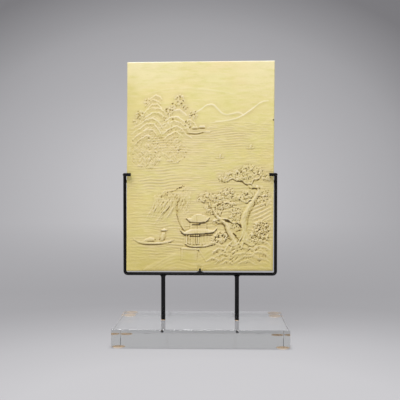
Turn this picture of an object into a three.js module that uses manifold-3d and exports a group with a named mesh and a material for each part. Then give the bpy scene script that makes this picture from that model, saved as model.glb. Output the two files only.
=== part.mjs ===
// Relief porcelain plaque held upright by a black wire cradle on a clear acrylic block.
// Millimetres, +Z up, +X to the right, the picture side facing -Y.
// The origin is at the bottom centre of the base, where the four feet stand.

import * as THREE from 'three';
import * as BufferGeometryUtils from 'three/addons/utils/BufferGeometryUtils.js';
import Module from 'manifold-3d';

// Clear acrylic block
const blockWidth = 250;
const blockDepth = 126;
const blockHeight = 25.4;
const blockChamfer = 0.4;

// Feet stuck under its corners
const footDiameter = 19;
const footThickness = 1;
const footInset = 9.8;

// Posts standing in blind holes of the block
const postDiameter = 6.35;
const postSpacing = 110.4;
const holeDepth = 14;
const holeClearance = 0.3;
const brazeFlareDiameter = 10.4;
const brazeFlareHeight = 3.4;

// The stand is set a little left of the block's middle
const standOffset = -2.1;

// Bent cradle rod: bar, two uprights and two front tips
const rodDiameter = 4.8;
const barCentreHeight = 95.5;
const cradleBendRadius = 4;
const tipHeight = 243.8;
const tipReach = 7;
const tipBendRadius = 3.2;
const tipFrontBendRadius = 5;

// Wire saddle across the middle of the bar, in a heap of brazing metal
const saddleWireDiameter = 2.8;
const saddleStandsProud = 2.3;
const saddleProngRise = 4;
const saddleBendRadius = 2;
const brazeHeapWidth = 16;

// Rear hooks brazed to the uprights
const rearHookDrop = 9.8;
const rearHookDiameter = 4.2;

// Plaque
const plaqueWidth = 218.4;
const plaqueHeight = 310.7;
const plaqueThickness = 11;
const plaqueArris = 1.2;
const plaqueCornerRadius = 1.5;

// The plaque warped a little in the kiln: its sides lean and its ends slope, both in mm per mm
const sideLean = 0.007;
const endSlope = 0.005;
const leanPivotHeight = 105;

// Clearances
const brazeGap = 0.3;
const sideClearance = 1.1;
const saddleClearance = 0.3;
const reliefAllowance = 2;
const rearClearance = 0.5;

// Carved picture: the plaque that it is laid out for, how deep its masses are rooted in the slab,
// how much of a mass's rise is taken by its sloping edge, and how far each kind rises
const drawnWidth = 218.4;
const drawnHeight = 310.7;
const reliefRoot = 1;
const reliefSlope = 0.45;
const farRise = 0.7;
const groundRise = 0.8;
const lowRise = 1;
const middleRise = 1.4;
const nearRise = 1.8;
const highestRise = 1.95;

// Facets
const rodSides = 12;
const roundSides = 32;
const bendSteps = 5;
const flareSteps = 4;
const cornerSegments = 3;
const arrisSegments = 2;
const moundSides = 14;
const moundRings = 8;
const bandSteps = 3;

// Places worked out from the sizes
const blockTop = footThickness + blockHeight;
const holeBottom = blockTop - holeDepth;
const barTop = barCentreHeight + rodDiameter / 2;
const saddleTop = barTop + saddleStandsProud;
const plaqueBottom = saddleTop + saddleClearance;
const uprightX = plaqueWidth / 2 + sideClearance + rodDiameter / 2;
const faceY = -plaqueThickness / 2;
const backY = plaqueThickness / 2;
const tipY = faceY - reliefAllowance - rodDiameter / 2;
const rearHookHeight = tipHeight - rearHookDrop;

const materials = {
  paint: { color: 0x0b0b0c, roughness: 0.35, metalness: 0.2 },
  acrylic: { color: 0xdfe6e8, roughness: 0.05, metalness: 0, transparent: true, opacity: 0.35 },
  cork: { color: 0xb9a07a, roughness: 0.9, metalness: 0 },
  porcelain: { color: 0xdacf98, roughness: 0.2, metalness: 0 },
};

const wasm = await Module();
wasm.setup();

// A closed three.js geometry as a solid that can be joined and cut
function solidOf(geometry) {
  const bare = geometry.clone();
  for (const name of Object.keys(bare.attributes)) {
    if (name !== 'position') bare.deleteAttribute(name);
  }
  const merged = BufferGeometryUtils.mergeVertices(bare, 1e-4);
  const vertProperties = new Float32Array(merged.attributes.position.array);
  const triVerts = new Uint32Array(merged.index.array);
  return new wasm.Manifold(new wasm.Mesh({ numProp: 3, vertProperties, triVerts }));
}

// A solid back as a three.js geometry
function geometryOf(solid) {
  const mesh = solid.getMesh();
  const geometry = new THREE.BufferGeometry();
  geometry.setAttribute('position', new THREE.BufferAttribute(mesh.vertProperties, 3));
  geometry.setIndex(new THREE.BufferAttribute(mesh.triVerts, 1));
  geometry.computeVertexNormals();
  return geometry;
}

// A cylinder standing along Z between two heights
function uprightCylinder(diameter, low, high, x, y, sides) {
  const geometry = new THREE.CylinderGeometry(diameter / 2, diameter / 2, high - low, sides);
  geometry.rotateX(Math.PI / 2);
  geometry.translate(x, y, (low + high) / 2);
  return geometry;
}

// A path that steps through given stations, so a rod has sections only where it needs them
class StationPath extends THREE.Curve {
  constructor(stations) {
    super();
    this.stations = stations;
  }

  getPoint(t, target = new THREE.Vector3()) {
    const last = this.stations.length - 1;
    const place = Math.min(Math.max(t, 0), 1) * last;
    const index = Math.min(Math.floor(place), last - 1);
    return target.lerpVectors(this.stations[index], this.stations[index + 1], place - index);
  }

  getPointAt(u, target) {
    return this.getPoint(u, target);
  }

  // The mean of the directions before and after, so a section halves each bend
  getTangentAt(u, target = new THREE.Vector3()) {
    const last = this.stations.length - 1;
    const index = Math.round(u * last);
    const here = this.stations[index];
    target.set(0, 0, 0);
    if (index > 0) target.add(here.clone().sub(this.stations[index - 1]).normalize());
    if (index < last) target.add(this.stations[index + 1].clone().sub(here).normalize());
    return target.normalize();
  }
}

// Stations along straight runs whose inner corners are each bent to a radius of their own
function bentRoute(corners, radii) {
  const stations = [corners[0].clone()];
  for (let i = 1; i < corners.length - 1; i += 1) {
    const corner = corners[i];
    const bendRadius = radii[i - 1];
    const before = corners[i - 1].clone().sub(corner).normalize();
    const after = corners[i + 1].clone().sub(corner).normalize();
    const turn = Math.PI - before.angleTo(after);
    const setback = bendRadius * Math.tan(turn / 2);
    const inward = before.clone().add(after).normalize();
    const centre = corner.clone().addScaledVector(inward, bendRadius / Math.cos(turn / 2));
    const start = corner.clone().addScaledVector(before, setback).sub(centre);
    const axis = before.clone().cross(after).normalize();
    for (let step = 0; step <= bendSteps; step += 1) {
      const angle = -turn * (step / bendSteps);
      stations.push(start.clone().applyAxisAngle(axis, angle).add(centre));
    }
  }
  stations.push(corners[corners.length - 1].clone());
  return stations;
}

// A round rod bent along straight runs
function bentRod(corners, diameter, radii) {
  const stations = bentRoute(corners, radii);
  const section = new THREE.Shape();
  for (let side = 0; side < rodSides; side += 1) {
    const angle = (2 * Math.PI * side) / rodSides;
    const x = (diameter / 2) * Math.cos(angle);
    const y = (diameter / 2) * Math.sin(angle);
    if (side === 0) section.moveTo(x, y);
    else section.lineTo(x, y);
  }
  section.closePath();
  return new THREE.ExtrudeGeometry(section, {
    steps: stations.length - 1,
    extrudePath: new StationPath(stations),
    bevelEnabled: false,
  });
}

// A straight cylinder round the bar, a little fatter than the rod, that copes what meets it
function barCope() {
  const coped = rodDiameter / 2 + brazeGap;
  const geometry = new THREE.CylinderGeometry(coped, coped, blockWidth, roundSides);
  geometry.rotateZ(Math.PI / 2);
  geometry.translate(0, 0, barCentreHeight);
  return geometry;
}

// A rectangle with rounded corners, centred on the origin
function roundedRectangle(width, height, radius) {
  const x = width / 2;
  const y = height / 2;
  const shape = new THREE.Shape();
  shape.moveTo(-x + radius, -y);
  shape.lineTo(x - radius, -y);
  shape.absarc(x - radius, -y + radius, radius, -Math.PI / 2, 0);
  shape.lineTo(x, y - radius);
  shape.absarc(x - radius, y - radius, radius, 0, Math.PI / 2);
  shape.lineTo(-x + radius, y);
  shape.absarc(-x + radius, y - radius, radius, Math.PI / 2, Math.PI);
  shape.lineTo(-x, -y + radius);
  shape.absarc(-x + radius, -y + radius, radius, Math.PI, 1.5 * Math.PI);
  return shape;
}

function acrylicBase() {
  const inner = roundedRectangle(
    blockWidth - 2 * blockChamfer,
    blockDepth - 2 * blockChamfer,
    blockChamfer,
  );
  const block = new THREE.ExtrudeGeometry(inner, {
    depth: blockHeight - 2 * blockChamfer,
    bevelEnabled: true,
    bevelThickness: blockChamfer,
    bevelSize: blockChamfer,
    bevelSegments: 1,
    curveSegments: cornerSegments,
  });
  block.translate(0, 0, footThickness + blockChamfer);
  let solid = solidOf(block);
  for (const side of [-1, 1]) {
    const hole = uprightCylinder(
      postDiameter + 2 * holeClearance,
      holeBottom,
      blockTop + blockChamfer,
      standOffset + (side * postSpacing) / 2,
      0,
      roundSides,
    );
    solid = solid.subtract(solidOf(hole));
  }
  return geometryOf(solid);
}

function foot(x, y) {
  return uprightCylinder(footDiameter, 0, footThickness, x, y, roundSides);
}

// A post with the flare of brazing metal round its head, coped to the bar
function post(side) {
  const low = holeBottom + holeClearance;
  const flareLow = barCentreHeight - rodDiameter / 2 - brazeFlareHeight / 2;
  const profile = [
    new THREE.Vector2(0, low),
    new THREE.Vector2(postDiameter / 2, low),
    new THREE.Vector2(postDiameter / 2, flareLow - brazeFlareHeight / 2),
  ];
  for (let step = 1; step <= flareSteps; step += 1) {
    const angle = (Math.PI / 2) * (step / flareSteps);
    const spread = (brazeFlareDiameter - postDiameter) / 2;
    profile.push(new THREE.Vector2(
      postDiameter / 2 + spread * (1 - Math.cos(angle)),
      flareLow - brazeFlareHeight / 2 + brazeFlareHeight * Math.sin(angle),
    ));
  }
  profile.push(new THREE.Vector2(0, flareLow + brazeFlareHeight / 2));
  const turned = new THREE.LatheGeometry(profile, roundSides);
  turned.rotateX(Math.PI / 2);
  turned.translate((side * postSpacing) / 2, 0, 0);
  return geometryOf(solidOf(turned).subtract(solidOf(barCope())));
}

function cradleRod() {
  const tipEnd = plaqueWidth / 2 - tipReach;
  const corners = [
    new THREE.Vector3(-tipEnd, tipY, tipHeight),
    new THREE.Vector3(-uprightX, tipY, tipHeight),
    new THREE.Vector3(-uprightX, 0, tipHeight),
    new THREE.Vector3(-uprightX, 0, barCentreHeight),
    new THREE.Vector3(uprightX, 0, barCentreHeight),
    new THREE.Vector3(uprightX, 0, tipHeight),
    new THREE.Vector3(uprightX, tipY, tipHeight),
    new THREE.Vector3(tipEnd, tipY, tipHeight),
  ];
  return bentRod(corners, rodDiameter, [
    tipFrontBendRadius, tipBendRadius, cradleBendRadius,
    cradleBendRadius, tipBendRadius, tipFrontBendRadius,
  ]);
}

// Brazing metal heaped round the saddle wire, sloping down to both sides along the bar
function brazeHeap() {
  const low = barCentreHeight + rodDiameter / 4;
  const high = saddleTop - brazeGap;
  const heap = new THREE.ExtrudeGeometry(
    new THREE.Shape([
      new THREE.Vector2(-brazeHeapWidth / 2, low),
      new THREE.Vector2(brazeHeapWidth / 2, low),
      new THREE.Vector2(saddleWireDiameter / 2, high),
      new THREE.Vector2(-saddleWireDiameter / 2, high),
    ]),
    { depth: rodDiameter, bevelEnabled: false },
  );
  heap.rotateX(Math.PI / 2);
  heap.translate(0, rodDiameter / 2, 0);
  return solidOf(heap);
}

function bottomSaddle() {
  const wireCentre = saddleTop - saddleWireDiameter / 2;
  const frontY = faceY - saddleWireDiameter / 2 - saddleClearance;
  const rearY = backY + saddleWireDiameter / 2 + saddleClearance;
  const corners = [
    new THREE.Vector3(0, frontY, plaqueBottom + saddleProngRise),
    new THREE.Vector3(0, frontY, wireCentre),
    new THREE.Vector3(0, rearY, wireCentre),
    new THREE.Vector3(0, rearY, plaqueBottom + saddleProngRise),
  ];
  const wire = bentRod(corners, saddleWireDiameter, [saddleBendRadius, saddleBendRadius]);
  return geometryOf(solidOf(wire).add(brazeHeap()).subtract(solidOf(barCope())));
}

function rearHook(side) {
  const hookY = backY + rearClearance + rearHookDiameter / 2;
  const corners = [
    new THREE.Vector3(side * uprightX, rodDiameter / 2 + brazeGap, rearHookHeight),
    new THREE.Vector3(side * uprightX, hookY, rearHookHeight),
    new THREE.Vector3(side * (plaqueWidth / 2 - tipReach), hookY, rearHookHeight),
  ];
  return bentRod(corners, rearHookDiameter, [tipBendRadius]);
}

// The carved picture is laid out on the plaque's face: u runs right from the middle, v up from the bottom
// edge, both in millimetres of the plaque as drawn, and scaled with it if its size changes.
function onFace([u, v]) {
  return new THREE.Vector2((u * plaqueWidth) / drawnWidth, (v * plaqueHeight) / drawnHeight);
}

// A raised patch of the face inside an outline, sloping at its edge
function patch(outline, rise, edge = rise * reliefSlope) {
  const shape = new THREE.Shape(outline.map(onFace));
  const geometry = new THREE.ExtrudeGeometry(shape, {
    depth: rise + reliefRoot - 2 * edge,
    bevelEnabled: true,
    bevelThickness: edge,
    bevelSize: edge,
    bevelOffset: -edge,
    bevelSegments: 1,
  });
  geometry.rotateX(Math.PI / 2);
  geometry.translate(0, faceY + reliefRoot - edge, plaqueBottom);
  return solidOf(geometry);
}

// A raised band along a smooth line, which may taper from its start to its end
function band(points, rise, startWidth, endWidth = startWidth) {
  const line = new THREE.SplineCurve(points.map(([u, v]) => new THREE.Vector2(u, v)));
  const count = bandSteps * (points.length - 1);
  const left = [];
  const right = [];
  for (let i = 0; i <= count; i += 1) {
    const centre = line.getPoint(i / count);
    const along = line.getTangent(i / count);
    const half = (startWidth + ((endWidth - startWidth) * i) / count) / 2;
    left.push([centre.x - along.y * half, centre.y + along.x * half]);
    right.unshift([centre.x + along.y * half, centre.y - along.x * half]);
  }
  const edge = Math.min(rise * reliefSlope, startWidth / 4, endWidth / 4);
  return patch([...right.reverse(), ...left.reverse()], rise, edge);
}

// A rounded mound on the face, cut off level a share of its height below its middle
function mound([u, v], [reachU, reachV], rise, below = 1) {
  const centre = onFace([u, v]);
  const ball = new THREE.SphereGeometry(1, moundSides, moundRings);
  ball.rotateX(Math.PI / 2);
  ball.scale(reachU, rise, reachV);
  ball.translate(centre.x, faceY, plaqueBottom + centre.y);
  if (below === 1) return solidOf(ball);
  const keep = new THREE.BoxGeometry(4 * reachU, 4 * rise, (1 + below) * reachV);
  keep.translate(centre.x, faceY, plaqueBottom + centre.y + ((1 - below) * reachV) / 2);
  return solidOf(ball).intersect(solidOf(keep));
}

function distantHills() {
  return [
    band([[-4, 238], [8, 243], [17, 246], [25, 241], [33, 233], [44, 232], [54, 234], [64, 230]], farRise, 3),
    band([[22, 223], [42, 224], [60, 228], [72, 235], [80, 242], [90, 249], [100, 252]], farRise, 2.8),
  ];
}

function mountains() {
  const crags = [
    mound([-71, 232], [15, 32], lowRise, 0.4),
    mound([-49, 224], [13, 17], lowRise, 0.4),
    mound([-90, 204], [14, 24], lowRise, 0.4),
    mound([-74, 196], [27, 36], middleRise, 0.4),
    mound([-16, 210], [15, 16], lowRise, 0.4),
    mound([-34, 203], [21, 24], middleRise, 0.4),
  ];
  const pines = [
    [-90, 237, 8], [-33, 254, 8.5], [-47, 240, 6], [-13, 236, 6.5], [-78, 252, 5.5], [-22, 240, 5.5],
  ];
  const crowns = pines.map(([u, v, radius]) => mound([u, v], [radius, radius], middleRise));
  const houses = [
    band([[-18, 205], [-2, 206], [14, 207]], middleRise, 3),
    patch([[-12, 208], [-4, 208], [-4, 214], [-12, 214]], lowRise),
    patch([[-2, 208], [7, 208], [7, 214], [-2, 214]], lowRise),
    patch([[-14, 214], [-2, 214], [-5, 218], [-11, 218]], middleRise),
    patch([[-4, 214], [9, 214], [6, 218], [-1, 218]], middleRise),
  ];
  return [...crags, ...crowns, ...houses];
}

function sail([u, v]) {
  return [
    band([[u - 5, v + 0.6], [u, v - 0.8], [u + 5, v + 0.8]], lowRise, 1.8),
    patch([[u - 1.5, v], [u + 2.2, v], [u + 2.8, v + 6], [u - 0.5, v + 5]], groundRise),
  ];
}

function nearBank() {
  const ground = patch([
    [-80, 6], [104, 6], [104, 38], [84, 42], [62, 46], [42, 43], [24, 38], [6, 32], [-8, 27],
    [-31, 30], [-44, 26], [-58, 19], [-72, 12],
  ], groundRise);
  const rocks = [
    mound([84, 24], [18, 20], nearRise, 0.5),
    mound([62, 22], [24, 22], nearRise, 0.5),
    mound([36, 16], [20, 18], nearRise, 0.5),
    mound([72, 8], [28, 18], highestRise, 0.3),
    mound([44, 7], [18, 13], nearRise, 0.3),
    mound([14, 9], [12, 13], middleRise, 0.3),
  ];
  const ridges = [
    [[76, 86], [91, 92], [104, 100]],
    [[78, 78], [92, 83], [104, 91]],
    [[79, 71], [92, 75], [104, 82]],
  ].map((line) => band(line, lowRise, 3.4, 2.4));
  return [ground, ...rocks, ...ridges];
}

function pavilion() {
  const posts = [-21, -14.5, -8, -3, 3.5, 10, 16].map((u) => band([[u, 36.5], [u, 56]], middleRise, 1.9));
  return [
    ...posts,
    patch([[-14, 64], [10, 64], [10, 78], [-14, 78]], lowRise),
    patch([
      [-30, 61.5], [-24.5, 54.6], [-4, 54.6], [19.5, 56.2], [24.8, 62], [17.5, 62.6], [10, 68],
      [-14, 68], [-22.5, 62],
    ], highestRise),
    patch([
      [-21.5, 88], [-17, 80.5], [-12.5, 77], [0, 76.2], [8.5, 77], [13.6, 84], [8, 85.5], [4, 93],
      [-4, 96.5], [-11, 92.5], [-15, 86],
    ], highestRise),
    band([[-25, 39.5], [-13, 36], [0, 36], [20, 42]], highestRise, 2.2),
    band([[-30, 33], [-18, 30.5], [-6.5, 28]], middleRise, 2.2),
  ];
}

function bigPines() {
  const trunks = [
    band([[64, 38], [67, 55], [70, 68], [75, 84], [80, 100], [84, 113], [87, 122]], highestRise, 11, 5),
    band([[60, 34], [54, 43], [49, 52], [42, 61], [38, 70], [33, 78], [27, 85], [22, 93]], highestRise, 10, 4.5),
  ];
  const branches = [
    [[87, 120], [81, 127], [74, 128], [66, 134], [57, 137], [46, 136], [36, 132]],
    [[74, 128], [78, 135], [86, 137], [96, 141]],
    [[82, 109], [76, 104], [68, 102], [61, 105]],
    [[22, 92], [15, 101], [7, 103], [0, 107]],
    [[27, 87], [33, 97], [41, 101], [49, 97]],
    [[40, 68], [47, 73], [56, 70]],
  ].map((line) => band(line, highestRise, 3.4, 1.8));
  const foliage = [
    [36, 134, 10, 7], [50, 141, 12, 8], [67, 147, 12, 8], [81, 149, 10, 8], [93, 140, 9, 7],
    [70, 113, 12, 7], [93, 107, 8, 9], [8, 111, 11, 9], [22, 107, 8, 7], [35, 112, 12, 9],
    [12, 93, 11, 8], [52, 88, 10, 9], [55, 70, 8, 7], [90, 60, 12, 20], [31, 50, 11, 9],
  ].map(([u, v, reachU, reachV]) => mound([u, v], [reachU, reachV], nearRise));
  return [...foliage, ...trunks, ...branches];
}

function willow() {
  const wood = [
    band([[-24, 58], [-30, 70], [-36, 84], [-38, 99], [-33, 114], [-25, 128]], nearRise, 3.6, 2),
    band([[-26, 127], [-38, 121], [-52, 114], [-70, 105]], lowRise, 2.2, 1.2),
  ];
  const strands = [];
  const strandCount = 8;
  for (let i = 0; i < strandCount; i += 1) {
    const top = [-42 - (26 * i) / (strandCount - 1), 119 - (14 * i) / (strandCount - 1)];
    strands.push(band([top, [top[0] - 2, top[1] - 12], [top[0] - 8, top[1] - 25]], farRise, 1.8, 0.9));
  }
  return [...wood, ...strands];
}

function boat() {
  return [
    patch([
      [-98, 46], [-91, 41], [-76, 39], [-60, 39.5], [-49, 42], [-44, 45.5], [-52, 44.5], [-70, 43.5],
      [-88, 44.5],
    ], highestRise),
    patch([[-88, 43], [-69, 43], [-70, 47.5], [-77, 50], [-84, 48]], middleRise),
    patch([[-62, 43], [-54, 43], [-52.5, 54], [-54.5, 59.5], [-58.5, 59.5], [-61, 53]], nearRise),
    patch([[-61.5, 59.5], [-51.5, 59.5], [-56.5, 64]], highestRise),
  ];
}

function plaque() {
  const inner = roundedRectangle(
    plaqueWidth - 2 * plaqueArris,
    plaqueHeight - 2 * plaqueArris,
    plaqueCornerRadius,
  );
  const slab = new THREE.ExtrudeGeometry(inner, {
    depth: plaqueThickness - 2 * plaqueArris,
    bevelEnabled: true,
    bevelThickness: plaqueArris,
    bevelSize: plaqueArris,
    bevelSegments: arrisSegments,
    curveSegments: cornerSegments,
  });
  slab.rotateX(Math.PI / 2);
  slab.translate(0, -faceY - plaqueArris, plaqueBottom + plaqueHeight / 2);
  const carvings = [
    ...distantHills(),
    ...mountains(),
    ...sail([74, 182]),
    ...sail([29, 168]),
    ...nearBank(),
    ...pavilion(),
    ...bigPines(),
    ...willow(),
    ...boat(),
  ];
  let solid = solidOf(slab);
  for (const carving of carvings) solid = solid.add(carving);
  return outOfSquare(geometryOf(solid));
}

// Leans the sides about a pivot height and slopes the two ends
function outOfSquare(geometry) {
  const pivot = plaqueBottom + leanPivotHeight;
  const shear = new THREE.Matrix4().set(
    1, 0, sideLean, -sideLean * pivot,
    0, 1, 0, 0,
    endSlope, 0, 1, 0,
    0, 0, 0, 1,
  );
  return geometry.applyMatrix4(shear);
}

function add(group, name, geometry, look) {
  const mesh = new THREE.Mesh(geometry, new THREE.MeshStandardMaterial(look));
  mesh.name = name;
  group.add(mesh);
}

const model = new THREE.Group();
const stand = new THREE.Group();
stand.position.x = standOffset;
model.add(stand);

add(model, 'acrylic_base', acrylicBase(), materials.acrylic);
const footX = blockWidth / 2 - footInset;
const footY = blockDepth / 2 - footInset;
add(model, 'foot_front_left', foot(-footX, -footY), materials.cork);
add(model, 'foot_front_right', foot(footX, -footY), materials.cork);
add(model, 'foot_rear_left', foot(-footX, footY), materials.cork);
add(model, 'foot_rear_right', foot(footX, footY), materials.cork);
add(stand, 'left_post', post(-1), materials.paint);
add(stand, 'right_post', post(1), materials.paint);
add(stand, 'cradle_rod', cradleRod(), materials.paint);
add(stand, 'bottom_saddle', bottomSaddle(), materials.paint);
add(stand, 'left_rear_hook', rearHook(-1), materials.paint);
add(stand, 'right_rear_hook', rearHook(1), materials.paint);
add(stand, 'plaque', plaque(), materials.porcelain);

export default model;
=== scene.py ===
# %% [markdown]
# # A relief porcelain plaque on a wire stand
# The plaque is a slab of porcelain with a river landscape carved in low relief under a straw-yellow glaze.
# A black wire cradle holds it upright, and the cradle's two posts stand in holes of a clear acrylic block.
# The wire, the block and the feet already have their real shape in the packed model, so they only get a
# finish here. The plaque's picture side is made anew, because carving is too fine for faceted solids.

import math

import bpy
import numpy as np
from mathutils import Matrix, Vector


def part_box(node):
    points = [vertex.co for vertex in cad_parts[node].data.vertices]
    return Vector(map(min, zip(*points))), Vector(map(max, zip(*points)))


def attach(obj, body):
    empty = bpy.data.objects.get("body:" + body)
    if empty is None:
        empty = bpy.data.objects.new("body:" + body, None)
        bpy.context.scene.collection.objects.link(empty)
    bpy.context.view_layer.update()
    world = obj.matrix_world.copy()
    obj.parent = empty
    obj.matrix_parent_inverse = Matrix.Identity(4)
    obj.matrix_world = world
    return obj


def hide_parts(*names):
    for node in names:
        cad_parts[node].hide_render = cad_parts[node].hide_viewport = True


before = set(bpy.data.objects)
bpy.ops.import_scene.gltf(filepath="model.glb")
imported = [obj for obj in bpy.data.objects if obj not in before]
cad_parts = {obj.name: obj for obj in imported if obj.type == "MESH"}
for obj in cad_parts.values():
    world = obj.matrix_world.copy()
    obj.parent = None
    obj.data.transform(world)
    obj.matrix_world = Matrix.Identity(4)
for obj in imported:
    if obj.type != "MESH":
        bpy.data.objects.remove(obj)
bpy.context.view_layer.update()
MM = 0.001
print("nodes:", ", ".join(sorted(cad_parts)))

# %% [markdown]
# ## Camera
# The block's depth edges run to one point a little right of the middle, so the camera stands slightly to
# the right and looks almost level at the plaque's middle. The focal length and the distance come from how
# much smaller the block's back edge is than its front edge.

# %% Camera
IMAGE_SIZE = 400
FOCAL_PIXELS = 578.0
SENSOR = 36.0
HORIZON_ROW = 188.7
VANISHING_COLUMN = 215.4
AXIS_COLUMN = 201.4
CAMERA_HEIGHT = 0.223
CAMERA_DISTANCE = 0.863


def make_camera():
    """Turned so that depth lines vanish at their column, and tilted so that the horizon sits on its row."""
    data = bpy.data.cameras.new("camera")
    data.sensor_width = SENSOR
    data.lens = SENSOR * FOCAL_PIXELS / IMAGE_SIZE
    camera = bpy.data.objects.new("camera", data)
    bpy.context.scene.collection.objects.link(camera)
    side = CAMERA_DISTANCE * (VANISHING_COLUMN - AXIS_COLUMN) / FOCAL_PIXELS
    turn = math.atan((VANISHING_COLUMN - IMAGE_SIZE / 2) / FOCAL_PIXELS)
    tilt = math.atan((IMAGE_SIZE / 2 - HORIZON_ROW) / FOCAL_PIXELS)
    camera.location = (side, -CAMERA_DISTANCE, CAMERA_HEIGHT)
    camera.rotation_euler = (math.pi / 2 - tilt, 0, turn)
    bpy.context.scene.camera = camera
    return camera


camera = make_camera()
bpy.context.scene.view_settings.view_transform = "Standard"
print("camera at", [round(c, 3) for c in camera.location])

# %% [markdown]
# ## Colours
# Colours are read as screen values, and a shader wants linear light, so one helper converts them.


# %% Colour helper
def screen(red, green, blue):
    """Screen values 0 to 255 as linear light: a short straight part, then a power of 2.4."""
    shares = np.array([red, green, blue]) / 255
    linear = np.where(shares <= 0.04045, shares / 12.92, ((shares + 0.055) / 1.055) ** 2.4)
    return (*linear.tolist(), 1.0)


print("screen grey 128 is", round(screen(128, 128, 128)[0], 3), "in linear light")

# %% [markdown]
# ## Shader helper
# Every finish is a small node tree round one Principled shader. The helper below adds nodes and joins them,
# so that each material can be read as a recipe.


# %% Shader helper
class Recipe:
    """A material being written: add() makes a node and sets its sockets, join() feeds a socket."""

    def __init__(self, name):
        self.material = bpy.data.materials.new(name)
        self.material.use_nodes = True
        self.tree = self.material.node_tree
        self.shader = self.tree.nodes["Principled BSDF"]
        self.place = self.add("ShaderNodeTexCoord").outputs["Object"]

    def add(self, kind, settings=None, **sockets):
        """A node with its settings and its sockets' values; Noise_Scale stands for "Noise Scale"."""
        node = self.tree.nodes.new(kind)
        for key, value in (settings or {}).items():
            setattr(node, key, value)
        for key, value in sockets.items():
            node.inputs[key.replace("_", " ")].default_value = value
        return node

    def join(self, source, socket):
        """Runs a link to the socket, or sets its value if the source is plain."""
        if isinstance(source, bpy.types.NodeSocket):
            self.tree.links.new(source, socket)
        else:
            socket.default_value = source

    def set(self, **sockets):
        """Constants on the Principled shader itself."""
        for key, value in sockets.items():
            self.shader.inputs[key.replace("_", " ")].default_value = value

    def noise(self, scale, detail=4.0, squeeze=1.0):
        """Soft random blotches, 1 / scale metres across, and squeezed in height for streaks."""
        node = self.add("ShaderNodeTexNoise", Scale=scale, Detail=detail)
        mapping = self.add("ShaderNodeMapping", Scale=(1, 1, squeeze))
        self.join(self.place, mapping.inputs["Vector"])
        self.join(mapping.outputs["Vector"], node.inputs["Vector"])
        return node.outputs["Fac"]

    def ramp(self, source, *stops):
        """Colours by value: each stop is a position and a colour, with straight blends between."""
        node = self.add("ShaderNodeValToRGB")
        elements = node.color_ramp.elements
        while len(elements) < len(stops):
            elements.new(0.5)
        for element, (position, colour) in zip(elements, stops):
            element.position = position
            element.color = colour
        self.join(source, node.inputs["Fac"])
        return node.outputs["Color"]

    def mix(self, share, first, second):
        """The first colour where share is 0, the second where it is 1."""
        node = self.add("ShaderNodeMix", {"data_type": "RGBA"})
        for source, key in ((share, "Factor"), (first, 6), (second, 7)):
            self.join(source, node.inputs[key])
        return node.outputs[2]

    def span(self, source, low, high, to_low=0.0, to_high=1.0):
        """A straight line from low, high to two other values, clamped at both ends."""
        node = self.add("ShaderNodeMapRange", From_Min=low, From_Max=high, To_Min=to_low, To_Max=to_high)
        self.join(source, node.inputs["Value"])
        return node.outputs["Result"]

    def along(self, axis):
        """The place along one axis, in metres."""
        split = self.add("ShaderNodeSeparateXYZ")
        self.join(self.place, split.inputs["Vector"])
        return split.outputs[axis]

    def maths(self, operation, first, second):
        """One sum on two numbers, each a link or plain."""
        node = self.add("ShaderNodeMath", {"operation": operation})
        for source, socket in zip((first, second), node.inputs):
            self.join(source, socket)
        return node.outputs["Value"]

    def bump(self, source, distance, strength=1.0):
        """Fine unevenness: the source times the distance, in metres, tilts the surface."""
        node = self.add("ShaderNodeBump", Distance=distance, Strength=strength)
        self.join(source, node.inputs["Height"])
        self.join(node.outputs["Normal"], self.shader.inputs["Normal"])


print("a Recipe can", ", ".join(step for step in vars(Recipe) if not step.startswith("_")))

# %% [markdown]
# ## Floor and backdrop
# A pale sheet of paper runs under the stand and curves up behind it. One profile line swept sideways makes
# both, so no edge shows where the floor turns into the wall.

# %% Floor and backdrop
FLOOR_FRONT = -1.6
FLOOR_BACK = 0.35
SWEEP_RADIUS = 0.5
WALL_TOP = 2.6
SWEEP_HALF_WIDTH = 3.0


def make_sweep():
    """A floor line, a quarter circle and a wall line, carried along X between two sides."""
    angles = np.linspace(0, math.pi / 2, 25)
    curve_y = FLOOR_BACK + SWEEP_RADIUS * np.sin(angles)
    curve_z = SWEEP_RADIUS * (1 - np.cos(angles))
    line_y = np.concatenate([[FLOOR_FRONT], curve_y, [FLOOR_BACK + SWEEP_RADIUS]])
    line_z = np.concatenate([[0.0], curve_z, [WALL_TOP]])
    points = []
    for side in (-SWEEP_HALF_WIDTH, SWEEP_HALF_WIDTH):
        points += [(side, y, z) for y, z in zip(line_y, line_z)]
    count = len(line_y)
    faces = [(i, i + count, i + count + 1, i + 1) for i in range(count - 1)]
    mesh = bpy.data.meshes.new("backdrop")
    mesh.from_pydata(points, [], faces)
    mesh.shade_smooth()
    sweep = bpy.data.objects.new("backdrop", mesh)
    bpy.context.scene.collection.objects.link(sweep)
    return sweep


backdrop = make_sweep()
print("backdrop of", len(backdrop.data.polygons), "faces")
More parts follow.
